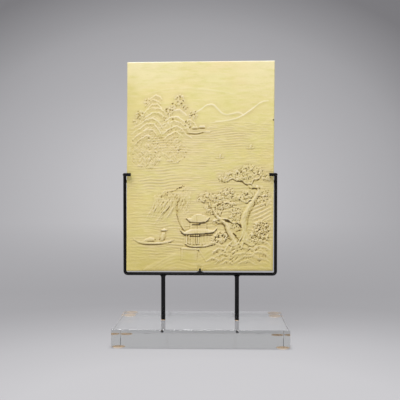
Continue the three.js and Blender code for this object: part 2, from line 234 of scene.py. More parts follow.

# %% [markdown]
# ## Paper
# The photograph's paper is lit in two soft pools, one on the floor in front and one on the wall behind the
# plaque. Spot lamps could make them, but they would also light the stand, so two rounded gradients of painted
# light are written into the paper's colour, and where it is seen it glows mostly with that colour. Long paths
# inside the block lose some light, so what shines through it sees a wall and floor painted duller, and the
# floor behind the block painted darker still, as its painted shadow. Hardly any light gets under the block,
# so the paper darkens close to it.


# %% Paper
FAR = 1e6
POOL_REACH = 1.5
WALL_BLEND = 0.13
WALL_CENTRE, WALL_RADII = (-0.08, 0.0, 0.24), (0.80, FAR, 0.55)
FLOOR_CENTRE, FLOOR_RADII = (0.02, -0.3, 0.0), (0.84, 0.75, FAR)
WALL_POOL = [(0.0, 195), (0.3, 189), (0.45, 182), (0.75, 168), (0.85, 161), (0.95, 149), (1.15, 123)]
FLOOR_POOL = [(0.0, 200), (0.25, 199), (0.35, 193), (0.42, 189), (0.55, 178), (0.66, 170), (0.76, 165),
              (1.0, 163)]
THROUGH_BLOCK = (170, 170, 171)
BEHIND_BLOCK = (0.05, 0.075)
BEHIND_SHARES = (0.2, 1.0)
BEHIND_SHADOW_GREY = (163, 163, 165)
PAPER_GLOW = 0.8
CONTACT_REACH = 0.006
CONTACT_SHADE = 0.6


def light_pool(recipe, centre, radii, *stops):
    """A grey by distance from a centre, measured in radii along each axis: an ellipse of light."""
    mapping = recipe.add("ShaderNodeMapping", {"vector_type": "TEXTURE"}, Location=centre, Scale=radii)
    recipe.join(recipe.place, mapping.inputs["Vector"])
    reach = recipe.add("ShaderNodeVectorMath", {"operation": "LENGTH"})
    recipe.join(mapping.outputs["Vector"], reach.inputs[0])
    greys = [(at / POOL_REACH, screen(grey, grey - 1, grey + 2)) for at, grey in stops]
    return recipe.ramp(recipe.maths("DIVIDE", reach.outputs["Value"], POOL_REACH), *greys)


def backdrop_paper():
    """Grey paper under two pools of light. The camera, and gloss and glass, see it mostly as written, and
    the camera sees it darker where something stands just above it."""
    recipe = Recipe("backdrop_paper")
    wall = light_pool(recipe, WALL_CENTRE, WALL_RADII, *WALL_POOL)
    floor = light_pool(recipe, FLOOR_CENTRE, FLOOR_RADII, *FLOOR_POOL)
    rays = recipe.add("ShaderNodeLightPath").outputs
    # Painted shade: the wall seen through the block is a duller grey.
    wall = recipe.mix(rays["Is Transmission Ray"], wall, screen(*THROUGH_BLOCK))
    # Painted shadow: the floor behind the block, seen through it, goes to a darker grey.
    behind = recipe.span(recipe.along("Y"), *BEHIND_BLOCK, *BEHIND_SHARES)
    behind = recipe.maths("MULTIPLY", behind, rays["Is Transmission Ray"])
    floor = recipe.mix(behind, floor, screen(*BEHIND_SHADOW_GREY))
    blend = recipe.mix(recipe.span(recipe.along("Z"), 0.0, WALL_BLEND), floor, wall)
    recipe.join(blend, recipe.shader.inputs["Base Color"])
    recipe.set(Roughness=0.9, Specular_IOR_Level=0.1)
    covered = recipe.add("ShaderNodeAmbientOcclusion", {"samples": 8}, Distance=CONTACT_REACH)
    shade = recipe.span(covered.outputs["AO"], 0.0, 1.0, CONTACT_SHADE, 0.0)
    lit = recipe.add("ShaderNodeEmission")
    shaded = recipe.mix(recipe.maths("MULTIPLY", shade, rays["Is Camera Ray"]), blend, screen(0, 0, 0))
    recipe.join(shaded, lit.inputs["Color"])
    seen = recipe.maths("MAXIMUM", rays["Is Camera Ray"], rays["Is Glossy Ray"])
    seen = recipe.maths("MAXIMUM", seen, rays["Is Transmission Ray"])
    mixed = recipe.add("ShaderNodeMixShader")
    recipe.join(recipe.maths("MULTIPLY", seen, PAPER_GLOW), mixed.inputs["Fac"])
    recipe.join(recipe.shader.outputs["BSDF"], mixed.inputs[1])
    recipe.join(lit.outputs["Emission"], mixed.inputs[2])
    recipe.join(mixed.outputs["Shader"], recipe.tree.nodes["Material Output"].inputs["Surface"])
    return recipe.material


backdrop.data.materials.append(backdrop_paper())
print("paper of", len(backdrop.active_material.node_tree.nodes), "nodes")

# %% [markdown]
# ## Light
# The relief only shows because light rakes across it. One soft lamp hangs high up, in front and to the left,
# so that crests catch it and their undersides fall into shade. A weaker one overhead brightens the block's
# top, a narrow one in front draws a bright line down each rod, and a pale room fills the shadows.


# %% Light
ROOM_STRENGTH = 0.38


def area_light(name, place, target, size, watts):
    """A rectangle of light aimed at a point; it isn't seen through the block, only its light is."""
    data = bpy.data.lights.new(name, "AREA")
    data.shape = "RECTANGLE"
    data.size, data.size_y = size
    data.energy = watts
    light = bpy.data.objects.new(name, data)
    light.location = place
    aim = Vector(target) - Vector(place)
    light.rotation_euler = aim.to_track_quat("-Z", "Y").to_euler()
    light.visible_transmission = False
    bpy.context.scene.collection.objects.link(light)
    return light


LAMPS = [
    ("raking_key", (-0.8, -1.4, 3.0), (0, 0, 0.27), (2.2, 2.2), 113.0),
    ("overhead", (0.3, -0.45, 1.35), (0, 0, 0.25), (1.0, 0.8), 4.0),
    ("front_strip", (-0.10, -1.0, 0.25), (0, 0, 0.2), (0.08, 0.5), 1.0),
]
for lamp in LAMPS:
    area_light(*lamp)
world = bpy.data.worlds.new("room")
world.use_nodes = True
room = world.node_tree.nodes["Background"].inputs
room["Color"].default_value = screen(236, 238, 242)
room["Strength"].default_value = ROOM_STRENGTH
bpy.context.scene.world = world
print("lamps:", ", ".join(f"{name} {watts:g} W" for name, _, _, _, watts in LAMPS))

# %% [markdown]
# ## Black rods
# The wire stand is brass rod under satin black paint. The paint is a little uneven, and it has worn through
# at the foot of each post, where the rod rubs in its hole each time the stand is set down.


# %% Black rods
WORN_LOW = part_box("left_post")[0][2] + 0.0035
WORN_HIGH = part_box("acrylic_base")[1][2] + 0.0004
WORN_EDGE = 0.0002


def black_paint():
    """Near black, a little uneven, worn to brass from just above the mouth of the hole downwards."""
    recipe = Recipe("black_paint")
    patches = recipe.noise(60.0, detail=5.0)
    paint = recipe.ramp(patches, (0.3, screen(5, 5, 6)), (0.75, screen(15, 15, 15)))
    brass = recipe.ramp(recipe.noise(300.0), (0.3, screen(176, 132, 86)), (0.7, screen(214, 182, 140)))
    above = recipe.span(recipe.along("Z"), WORN_LOW - WORN_EDGE, WORN_LOW)
    below = recipe.span(recipe.along("Z"), WORN_HIGH + WORN_EDGE, WORN_HIGH)
    ring = recipe.maths("MULTIPLY", above, below)
    recipe.join(recipe.mix(ring, paint, brass), recipe.shader.inputs["Base Color"])
    recipe.join(recipe.span(patches, 0.2, 0.8, 0.2, 0.3), recipe.shader.inputs["Roughness"])
    recipe.set(IOR=1.3)
    recipe.bump(recipe.noise(900.0, detail=2.0), 0.00006, 0.5)
    return recipe.material


BLACK_PAINT = black_paint()
for name in ("left_post", "right_post", "cradle_rod", "bottom_saddle", "left_rear_hook", "right_rear_hook"):
    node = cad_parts[name]
    node.data.materials.clear()
    node.data.materials.append(BLACK_PAINT)
print(f"painted rods, worn from z {WORN_LOW:.4f} to {WORN_HIGH:.4f} m")

# %% [markdown]
# ## Clear acrylic
# Polished cast acrylic bends light like glass, a little less strongly. The holes are in the solid already,
# so the block shows them from every side, with the total reflections that real blocks have. A renderer's
# shadow rays stop at glass, which would leave the feet black, so they are let through instead.


# %% Clear acrylic
SHADOW_PASSES = 0.85


def clear_acrylic():
    """A dielectric, see-through for the rays that look for a lamp."""
    recipe = Recipe("clear_acrylic")
    recipe.set(Base_Color=(0.965, 0.97, 0.97, 1), IOR=1.49, Transmission_Weight=1.0, Roughness=0.0)
    seeking_lamp = recipe.add("ShaderNodeLightPath").outputs["Is Shadow Ray"]
    passing = recipe.maths("MULTIPLY", seeking_lamp, SHADOW_PASSES)
    recipe.join(recipe.maths("SUBTRACT", 1.0, passing), recipe.shader.inputs["Alpha"])
    recipe.bump(recipe.noise(6.0, detail=1.0), 0.0004, 0.1)
    return recipe.material


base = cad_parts["acrylic_base"]
base.data.materials.clear()
base.data.materials.append(clear_acrylic())
print("block of", len(base.data.polygons), "faces")

# %% [markdown]
# ## Cork feet
# Four thin discs keep the acrylic off the table. Cork is light tan with darker grains. Light that gathers
# in the block reaches them by more ways than a renderer tries, and a faint glow stands for the rest.


# %% Cork feet
CORK_GLOW = 0.12
CORK_GRAINS = 700.0
CORK_LIGHT = (223, 207, 186)
CORK_DARK = (196, 179, 156)


def cork():
    """Grains by the distance to strewn points, light in the middle and darker towards the next one."""
    recipe = Recipe("cork")
    grains = recipe.add("ShaderNodeTexVoronoi", Scale=CORK_GRAINS)
    recipe.join(recipe.place, grains.inputs["Vector"])
    colour = recipe.ramp(grains.outputs["Distance"], (0.1, screen(*CORK_LIGHT)), (0.8, screen(*CORK_DARK)))
    recipe.join(colour, recipe.shader.inputs["Base Color"])
    recipe.join(colour, recipe.shader.inputs["Emission Color"])
    recipe.set(Roughness=0.9, Emission_Strength=CORK_GLOW)
    recipe.bump(grains.outputs["Distance"], 0.0002)
    return recipe.material


CORK = cork()
for name in sorted(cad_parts):
    if name.startswith("foot_"):
        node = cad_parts[name]
        node.data.materials.clear()
        node.data.materials.append(CORK)
print("cork under", sum(name.startswith("foot_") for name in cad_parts), "corners")

# %% [markdown]
# ## Glazed porcelain
# The glaze is a clear straw yellow over white porcelain: thin and pale on every raised edge, deeper where it
# lies on open ground, and brown in deep cuts and under edges, where pooled glaze and painted shade add up.
# Painted light makes it paler towards the top and darker towards the bottom, as the light from above falls
# off, and the left edge is a deeper gold, partly thicker glaze and partly painted shade. It is blotched and
# streaked a little greener and warmer from place to place, turns pinkish where the carving is crowded, and
# has one dark iron speck at the right edge. The back was never glazed, so it is bare white biscuit with the
# print of the cloth that the clay was rolled on.

# %% Glaze
SPECK = (0.1065, -0.0055, 0.3245)
SPECK_SIZE = 0.0016
GLAZE_DEPTHS = (0.0, 0.2, 0.4, 0.6, 0.8, 1.0)
# LOW_GLAZE colours the bottom and HIGH_GLAZE the top, whose paler colours are painted light from above; the
# deepest colours of both are brown pooled glaze and painted shade.
LOW_GLAZE = [(248, 242, 226), (222, 207, 154), (202, 186, 112), (178, 157, 78), (118, 91, 32), (40, 25, 4)]
HIGH_GLAZE = [(250, 246, 234), (242, 231, 190), (230, 217, 155), (208, 189, 114), (146, 118, 54),
              (60, 42, 14)]
# Painted light: a paler band along the top.
PALE_TOP = (242, 231, 198)
CROWDED = (204, 183, 142)
CROWDED_TINT = 0.45
# Painted shade: darker towards the bottom, where the light from above falls off.
SHADED_FOOT = (190, 172, 96)
# A deeper gold along the left edge: partly thicker glaze, partly painted shade.
THICK_SHADED_SIDE = (205, 189, 120)
IRON = (74, 50, 30)
HEIGHTS = (0.11, 0.41)
TOP_BAND = (0.35, 0.41, 0.0, 0.4)
FOOT_BAND = (0.155, 0.115, 0.0, 0.32)
SIDE_BAND = (-0.109, -0.085, 0.5, 0.0)
SIDE_FADE = (0.40, 0.36, 0.2, 1.0)
BLOTCHES = [(9.0, 1.0, (206, 206, 108), 0.32), (14.0, 1.5, (230, 200, 132), 0.28),
            (50.0, 4.0, (202, 196, 98), 0.32), (65.0, 5.0, (238, 222, 178), 0.36)]


def glaze_ramp(recipe, pooled, glaze):
    """The six colours of one glaze, from its thinnest to its deepest."""
    return recipe.ramp(pooled, *((depth, screen(*colour)) for depth, colour in zip(GLAZE_DEPTHS, glaze)))


def glazed_porcelain():
    """A ramp on the attribute of pooled glaze and painted shade, tinted by height as painted light and by
    noise, giving way to biscuit at the back.
    """
    recipe = Recipe("glazed_porcelain")
    # Pooled glaze and painted shade, worked out from the carving.
    pooled = recipe.add("ShaderNodeAttribute", {"attribute_name": "pooling"}).outputs["Fac"]
    back = recipe.add("ShaderNodeAttribute", {"attribute_name": "biscuit"}).outputs["Fac"]
    low = glaze_ramp(recipe, pooled, LOW_GLAZE)
    high = glaze_ramp(recipe, pooled, HIGH_GLAZE)
    height = recipe.along("Z")
    # Painted light: the high ramp at the top, the low ramp at the bottom.
    colour = recipe.mix(recipe.span(height, *HEIGHTS), low, high)
    # Painted light: paler still in a band at the top.
    colour = recipe.mix(recipe.span(height, *TOP_BAND), colour, screen(*PALE_TOP))
    shallow = recipe.span(pooled, 0.5, 0.8, 1.0, 0.1)
    for scale, squeeze, tint, most in BLOTCHES:
        blotches = recipe.span(recipe.noise(scale, 3.0, squeeze), 0.48, 0.72, 0.0, most)
        colour = recipe.mix(recipe.maths("MULTIPLY", blotches, shallow), colour, screen(*tint))
    crowded = recipe.add("ShaderNodeAttribute", {"attribute_name": "crowded"}).outputs["Fac"]
    crowded = recipe.maths("MULTIPLY", recipe.span(crowded, 0.0, 1.0, 0.0, CROWDED_TINT), shallow)
    colour = recipe.mix(crowded, colour, screen(*CROWDED))
    # Painted shade: darker towards the bottom edge.
    thick = recipe.maths("MULTIPLY", recipe.span(height, *FOOT_BAND), shallow)
    colour = recipe.mix(thick, colour, screen(*SHADED_FOOT))
    # Partly thicker glaze and partly painted shade along the left edge.
    rim = recipe.span(recipe.along("X"), *SIDE_BAND)
    rim = recipe.maths("MULTIPLY", rim, recipe.span(height, *SIDE_FADE))
    colour = recipe.mix(rim, colour, screen(*THICK_SHADED_SIDE))
    away = recipe.add("ShaderNodeVectorMath", {"operation": "DISTANCE"})
    recipe.join(recipe.place, away.inputs[0])
    away.inputs[1].default_value = SPECK
    speck = recipe.span(away.outputs["Value"], SPECK_SIZE, 0.4 * SPECK_SIZE)
    colour = recipe.mix(speck, colour, screen(*IRON))
    patches = recipe.noise(40.0, 6.0)
    biscuit = recipe.ramp(patches, (0.3, screen(228, 222, 208)), (0.7, screen(243, 240, 232)))
    recipe.join(recipe.mix(back, colour, biscuit), recipe.shader.inputs["Base Color"])
    recipe.join(recipe.span(back, 0.0, 1.0, 0.28, 0.75), recipe.shader.inputs["Roughness"])
    recipe.set(Specular_IOR_Level=0.22)
    cloth = recipe.add("ShaderNodeTexWave", {"bands_direction": "Z"}, Scale=160.0, Distortion=1.5)
    recipe.join(recipe.place, cloth.inputs["Vector"])
    orange_peel = recipe.noise(220.0, 2.0)
    skin = recipe.add("ShaderNodeMix", {"data_type": "FLOAT"})
    recipe.join(back, skin.inputs[0])
    recipe.join(orange_peel, skin.inputs[2])
    recipe.join(cloth.outputs["Fac"], skin.inputs[3])
    recipe.bump(skin.outputs[0], 0.0002, 0.3)
    return recipe.material


GLAZE = glazed_porcelain()
print("glaze of", len(GLAZE.node_tree.nodes), "nodes")

# %% [markdown]
# ## Carved porcelain: the grid
# The picture is low relief, so its surface is one height above each point of the face. That makes it a
# function of two parameters: u runs across the plaque from its middle, v runs up from its bottom edge, both
# in millimetres. A grid of points holds the heights, and every carved form raises or lowers part of it.
# A second grid holds glaze that is brushed on thick or wiped thin, and painted shade and painted highlights
# that are brushed on the same way. A sculpt brush could do the same by hand, but a formula can be changed and
# run again.

# %% Carving grid
LEAN = 0.007
SLOPE = 0.005
LEAN_PIVOT = 105.0
ARRIS = 1.2
THICKNESS = 11.0
SLAB_LOW, SLAB_HIGH = (np.array(corner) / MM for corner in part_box("plaque"))
SPAN_X, SPAN_Z = SLAB_HIGH[0] - SLAB_LOW[0], SLAB_HIGH[2] - SLAB_LOW[2]
SLAB_WIDTH = (SPAN_X - LEAN * SPAN_Z) / (1 - LEAN * SLOPE)
SLAB_TALL = SPAN_Z - SLOPE * SLAB_WIDTH
COLUMNS = 250
ROWS = 352
NOTHING = -9.0
CUT_FLOOR = -0.9


class Face:
    """Heights in millimetres over the face, with ways to raise, lower and cover parts of it."""

    def __init__(self):
        self.us = np.linspace(-SLAB_WIDTH / 2 + ARRIS, SLAB_WIDTH / 2 - ARRIS, COLUMNS + 1)
        self.vs = np.linspace(ARRIS, SLAB_TALL - ARRIS, ROWS + 1)
        self.u, self.v = np.meshgrid(self.us, self.vs)
        self.height = np.zeros_like(self.u)
        # Glaze to add or take away, which also carries painted shade and painted highlights.
        self.glaze = np.zeros_like(self.u)
        self.told = self.height.copy()

    def part(self, centre, reach):
        """The slice of the grid inside a box round a centre, and its coordinates."""
        columns = slice(*np.searchsorted(self.us, (centre[0] - reach[0], centre[0] + reach[0])))
        rows = slice(*np.searchsorted(self.vs, (centre[1] - reach[1], centre[1] + reach[1])))
        return (rows, columns), self.u[rows, columns], self.v[rows, columns]

    def raise_to(self, where, heights):
        """Takes the higher of what is there and the new form, as when clay is laid on."""
        self.height[where] = np.maximum(self.height[where], heights)

    def cover(self, where, share, heights):
        """Puts a form in front of what is there: a share of 1 is all form, 0 leaves the old surface."""
        self.height[where] += share * (heights - self.height[where])

    def cut(self, where, depths):
        """Lowers the surface, but never below the floor of the deepest cut."""
        lowered = np.maximum(self.height[where] - depths, np.minimum(self.height[where], CUT_FLOOR))
        self.height[where] = lowered

    def tell(self, step):
        """How much of the face a step has changed since the one before, and the heights that it left."""
        carved = 100 * np.mean(self.height != self.told)
        low, high = self.height.min(), self.height.max()
        print(f"{step}: {carved:.0f}% of the face carved, now from {low:.2f} to {high:.2f} mm")
        self.told = self.height.copy()


print(f"carving grid {COLUMNS} by {ROWS} on a face {SLAB_WIDTH:.1f} by {SLAB_TALL:.1f} mm")

# %% [markdown]
# ## Cutting along a line
# Most of the picture is drawn with a knife, along a line. Bevelled curves could be laid on the face, but
# every crossing would show a seam, where strokes on one grid melt into one skin. All that a stroke needs is
# how far each grid point lies from its line: its height is a profile over that distance. Proud forms get a
# moat, because a carver cuts the ground away beside what should stand out.


# %% Cutting along a line
MOAT_WIDTH = 2.2


class Knife(Face):
    """Rolls, grooves and strokes whose profile is a function of the distance to a line."""

    def along(self, points, reach):
        """Near a line: distance to it, share of its length passed, and side, which is +1 on its left."""
        points = np.asarray(points, float)
        low, high = points.min(0) - reach, points.max(0) + reach
        where, u, v = self.part((low + high) / 2, (high - low) / 2)
        lengths = np.linalg.norm(np.diff(points, axis=0), axis=1)
        starts = np.concatenate([[0], np.cumsum(lengths)[:-1]])
        nearest, share, side = np.full(u.shape, 1e9), np.zeros(u.shape), np.ones(u.shape)
        for start, end, length, before in zip(points[:-1], points[1:], lengths, starts):
            run = (end - start) / length
            du, dv = u - start[0], v - start[1]
            t = np.clip(du * run[0] + dv * run[1], 0, length)
            distance = np.hypot(du - t * run[0], dv - t * run[1])
            closer = distance < nearest
            nearest = np.where(closer, distance, nearest)
            share = np.where(closer, (before + t) / lengths.sum(), share)
            side = np.where(closer, np.where(run[0] * dv >= run[1] * du, 1.0, -1.0), side)
        return where, nearest, share, side

    def moat(self, where, outside, depth):
        """A trough just outside a form, deepest halfway across its width and on the form's lower side."""
        trough = np.clip(1 - np.abs(2 * outside / MOAT_WIDTH - 1), 0, 1)
        up, across = np.gradient(outside)
        below = np.clip(0.5 - 0.7 * up / (np.hypot(up, across) + 1e-6), 0.1, 1)
        self.cut(where, np.where(outside > 0, depth * trough * below, 0))

    def bead(self, points, width, rise, end_width=None, ground=0.0, moat=0.0):
        """A roll along a line: rise times a half circle across the width, which may taper."""
        end_width = width if end_width is None else end_width
        where, distance, share, _ = self.along(points, max(width, end_width) / 2 + MOAT_WIDTH)
        half = (width + (end_width - width) * share) / 2
        self.moat(where, distance - half, moat)
        across = np.clip(1 - (distance / half) ** 2, 0, 1)
        self.raise_to(where, np.where(across > 0, ground + rise * np.sqrt(across), NOTHING))

    def groove(self, points, width, depth):
        """A cut along a line: depth times a smooth bell across the width."""
        where, distance, _, _ = self.along(points, width)
        self.cut(where, depth * np.clip(1 - (2 * distance / width) ** 2, 0, 1))

    def stroke(self, points, width, rise):
        """Adds a bell across a line, fading at both ends as the root of a half sine, to what is there."""
        where, distance, share, _ = self.along(points, width / 2 + 0.5)
        bell = np.clip(1 - (2 * distance / width) ** 2, 0, 1)
        self.height[where] += rise * bell * np.sqrt(np.clip(np.sin(np.pi * share), 0, 1))

    def brush(self, points, width, amount):
        """Glaze or painted shade laid along a line, or wiped off it as thin glaze or a painted highlight if
        the
        amount is below 0: a bell across the width.
        """
        where, distance, _, _ = self.along(points, width / 2 + 0.5)
        self.glaze[where] += amount * np.clip(1 - (2 * distance / width) ** 2, 0, 1)


print(f"moats {MOAT_WIDTH} mm wide")

# %% [markdown]
# ## Folds and patches
# A hill is a fold: a ridge with a short lip behind and a long skirt in front. A roof or a hull is a patch
# inside an outline, with a rounded edge. Separate meshes would do for these, but a carver leaves no gap
# behind a form, so each one covers what is there by a share that runs out softly.


# %% Folds and patches
HATCH_PITCH = 2.6


def inside_outline(outline, u, v):
    """True where a ray to the right crosses the outline an odd number of times."""
    inside = np.zeros(u.shape, bool)
    for (u0, v0), (u1, v1) in zip(outline, np.roll(outline, -1, axis=0)):
        if v0 == v1:
            continue
        crossing = (v0 > v) != (v1 > v)
        inside ^= crossing & (u < (u1 - u0) * (v - v0) / (v1 - v0) + u0)
    return inside


class Carving(Knife):
    """Forms that cover what lies behind them."""

    def fold(self, points, rise, lip, skirt, hatch=0.0):
        """A ridge drawn left to right: a quarter round over its lip, a long slope over its skirt, and
        strokes down the slope as a sine of the length. It covers what is behind and fades at both ends."""
        where, distance, share, side = self.along(points, max(lip, skirt))
        near = np.clip(1 - distance / np.where(side > 0, lip, skirt), 0, 1)
        taper = np.clip(np.sin(np.pi * share), 0, 1) ** 0.35
        length = np.linalg.norm(np.diff(np.asarray(points), axis=0), axis=1).sum()
        passed = 2 * np.pi * share * length / HATCH_PITCH
        strokes = hatch * np.sin(passed + 0.7 * distance) * np.sin(np.pi * near)
        outer = np.sqrt(np.clip(1 - (1 - near) ** 2, 0, 1))
        shape = np.where(side > 0, outer, near**1.2 + strokes)
        mask = np.where(side > 0, near > 0, np.clip(2.5 * near, 0, 1))
        self.cover(where, mask * taper, rise * shape)

    def pad(self, outline, rise, edge, slope=0.0, moat=0.0):
        """A patch inside an outline: a quarter round at its edge, then flat, plus slope times v."""
        outline = np.asarray(outline, float)
        where, distance, _, _ = self.along(np.vstack([outline, outline[:1]]), edge + MOAT_WIDTH)
        inside = inside_outline(outline, self.u[where], self.v[where])
        self.moat(where, np.where(inside, -1, distance), moat)
        share = np.clip(distance / edge, 0, 1)
        top = rise + slope * (self.v[where] - outline[:, 1].min())
        self.raise_to(where, np.where(inside, top * np.sqrt(1 - (1 - share) ** 2), NOTHING))


carving = Carving()
carving.tell("blank face")

# %% [markdown]
# ## Smooth lines
# Hills, branches and shores are drawn with a few points each. A Catmull-Rom curve through them gives a
# smooth line, as a carver's stroke is.


# %% Smooth lines
def smooth(points, steps=6):
    """A Catmull-Rom curve: each stretch is a cubic through two points, in its neighbours' directions."""
    points = np.asarray(points, float)
    padded = np.vstack([2 * points[0] - points[1], points, 2 * points[-1] - points[-2]])
    t = np.linspace(0, 1, steps, endpoint=False)[:, None]
    stretches = []
    for a, b, c, d in zip(padded[:-3], padded[1:-2], padded[2:-1], padded[3:]):
        stretches.append(0.5 * (2 * b + (c - a) * t + (2 * a - 5 * b + 4 * c - d) * t**2
                                + (3 * b - a - 3 * c + d) * t**3))
    return np.vstack([*stretches, points[-1:]])


print("3 points become", len(smooth([(0, 0), (10, 5), (20, 0)])), "on a smooth line")

# %% [markdown]
# ## Water
# The whole middle of the plaque is water: nearly level ripples, a little closer together far away. Noise
# would look like hammered metal, so two trains of ripples of different length cross at a slight angle, and
# short wavy strokes of the carver's knife, row above row, break them up. A faint grain, as a worked surface
# has, lies over the whole face. A seeded generator draws the same strokes on every run, and most steps start
# one of their own, so that a change in one step leaves the others alone.

# %% Water
HORIZON = 224.0
SHORE = 16.0
RIPPLE_FAR = 3.5
RIPPLE_NEAR = 5.6
RIPPLE_RISE = 0.23
RIPPLE_TRAINS = [(0.75, 1.0, 1.9), (0.5, 0.68, 1.5)]
SKY_WAVER = 0.03
WAVELET_WIDTH = 2.0
WAVELET_LENGTHS = (7, 28)
WAVELET_RISE = 0.26
GRAIN = 0.018

seed = np.random.default_rng(7)


def wander(u, v, size_u, size_v, waves=14):
    """A slow random field: a sum of sines of random direction, about 1 high."""
    total = np.zeros(np.broadcast(u, v).shape)
    for _ in range(waves):
        phase = seed.uniform(0, 2 * np.pi)
        total += np.sin(u * seed.normal() / size_u + v * seed.normal() / size_v + phase)
    return total / np.sqrt(waves / 2)


def ripple_train(u, v, stretch, sway):
    """A sine of the number of crests passed, counted up the face where their spacing shrinks."""
    far = np.clip(carving.vs / HORIZON, 0, 1)
    spacing = stretch * (RIPPLE_NEAR + (RIPPLE_FAR - RIPPLE_NEAR) * far)
    passed = np.cumsum(np.gradient(carving.vs) / spacing)
    crests = np.interp(v + sway * (wander(u, v, 26, 50) + 0.45 * wander(u, v, 9, 30)), carving.vs, passed)
    strength = np.clip(0.5 + 0.6 * wander(u, v, 20, 6), 0.05, 1.5)
    return np.sin(2 * np.pi * crests) * strength


def carve_water():
    """Both trains under the horizon, a faint level waver in the sky, and a fine grain over all."""
    u, v = carving.u, carving.v
    ripples = sum(share * ripple_train(u, v, stretch, sway) for share, stretch, sway in RIPPLE_TRAINS)
    water = np.clip((HORIZON - v) / 12, 0, 1) * np.clip((v - SHORE) / 8, 0, 1)
    carving.height += RIPPLE_RISE * ripples * water
    carving.height += SKY_WAVER * wander(u, v, 12, 2.5) * (1 - water)
    carving.height += GRAIN * wander(u, v, 1.1, 0.6, 24)


def wavelets():
    """Rows of strokes from near to far: each bends as a sine of its length, with a gap before the next."""
    v = SHORE + 2
    while v < HORIZON - 2:
        u = carving.us[0] + seed.uniform(-6, 4)
        while u < carving.us[-1]:
            length, run = seed.uniform(*WAVELET_LENGTHS), np.linspace(0, 1, 7)
            sway = 0.55 * np.sin(0.28 * length * run + seed.uniform(0, 6)) + 0.5 * seed.normal()
            carving.stroke(np.column_stack([u + length * run, v + sway]), WAVELET_WIDTH,
                           WAVELET_RISE * seed.uniform(0.4, 1.4))
            u += length + seed.uniform(-4, 6)
        v += RIPPLE_NEAR * 0.86 + (RIPPLE_FAR - RIPPLE_NEAR) * 0.86 * v / HORIZON


carve_water()
wavelets()
carving.tell("water")

# %% [markdown]
# ## Distant hills
# Far hills are one thin ridge each with a gentle slope below it, so the light catches their top edge.

# %% Distant hills
FAR_HILLS = [
    (0.18, [(-82, 262), (-52, 270), (-20, 272), (18, 268), (52, 262)]),
    (0.75, [(-6, 236), (2, 241), (9, 246), (18, 247), (25, 241), (31, 235), (38, 232), (46, 233), (56, 235),
            (64, 231)]),
    (0.7, [(22, 222), (38, 223), (52, 226), (63, 231), (72, 237), (80, 243), (90, 250), (100, 252)]),
]
for rise, line in FAR_HILLS:
    carving.fold(smooth(line), 0.55 * rise, 1.2, 3.2)
    carving.brush(smooth(line), 1.9, -0.26 * rise)
carving.tell("distant hills")

# %% [markdown]
# ## Rock
# Carved rock is drawn as arches, one in front of the other, each a thin ridge that drops away behind and
# slopes down in front, with short strokes down the slope. Clean arches would look like a rainbow, so each
# one wavers, and its pale crest comes and goes.


# %% Rock
def unsteady(points, wobble):
    """A smooth line moved up and down by two sines of random phase, as a knife wanders."""
    line = smooth(points)
    passed = np.arange(len(line))
    first, second = seed.uniform(0, 2 * np.pi, 2)
    line[:, 1] += wobble * (np.sin(0.9 * passed + first) + 0.7 * np.sin(2.1 * passed + second))
    return line


def wipe(line, width, amount):
    """A brush line in short lengths, each a random share of the amount, so that it comes and goes."""
    for first in range(0, len(line) - 3, 3):
        carving.brush(line[first : first + 4], width, amount * seed.uniform(0, 1.4))


print("rock helpers: unsteady, wipe")

# %% [markdown]
# ## Strewn marks
# Leaves, rock and reeds are full of small marks without a pattern: specks of thick glaze, short cuts and
# fine hatching. Placing them by hand would take days, so a seeded generator strews each kind over an
# ellipse, and every run strews them alike.


# %% Strewn marks
def strewn(centre, reach, count):
    """Random spots spread evenly over an ellipse: the root of a random share is the distance out."""
    turn = seed.uniform(0, 2 * np.pi, count)
    out = np.sqrt(seed.uniform(size=count))
    return np.array(centre) + np.array(reach) * (out * np.array([np.cos(turn), np.sin(turn)])).T


def dots(centre, reach, count, width, amount):
    """Specks of thick glaze, as gather in pricked holes."""
    for spot in strewn(centre, reach, count):
        thick, strong = width * seed.uniform(0.8, 1.5), amount * seed.uniform(0.5, 1.3)
        carving.brush([spot, spot + (0.4, 0.3)], thick, strong)


def nicks(centre, reach, count, length, depth):
    """Short dark cuts at random places in random directions."""
    for spot in strewn(centre, reach, count):
        turn = seed.uniform(0, np.pi)
        half = 0.5 * length * seed.uniform(0.5, 1.3) * np.array([np.cos(turn), np.sin(turn)])
        carving.groove([spot - half, spot + half], 1.5, depth * seed.uniform(0.5, 1.2))


def hatching(centre, reach, count, rise, slants):
    """Fine short strokes strewn over an ellipse, each near one of the slants, given in degrees."""
    for spot in strewn(centre, reach, count):
        turn = np.radians(seed.choice(slants) + 7 * seed.normal())
        half = 0.5 * seed.uniform(3.5, 7.5) * np.array([np.cos(turn), np.sin(turn)])
        carving.stroke([spot - half, spot + half], 1.6, rise * seed.uniform(0.5, 1.4))


print("strewn marks: dots, nicks, hatching")

# %% [markdown]
# ## The mountain
# The mountain is fifteen arches, from the highest and farthest to the lowest and nearest. Noise alone would
# give any mountain, but this one's ridges stand where the photograph shows them, so they are listed. Under
# each pale crest comes a line of shade. The slopes are hatched, and two broad gullies hold more glaze.

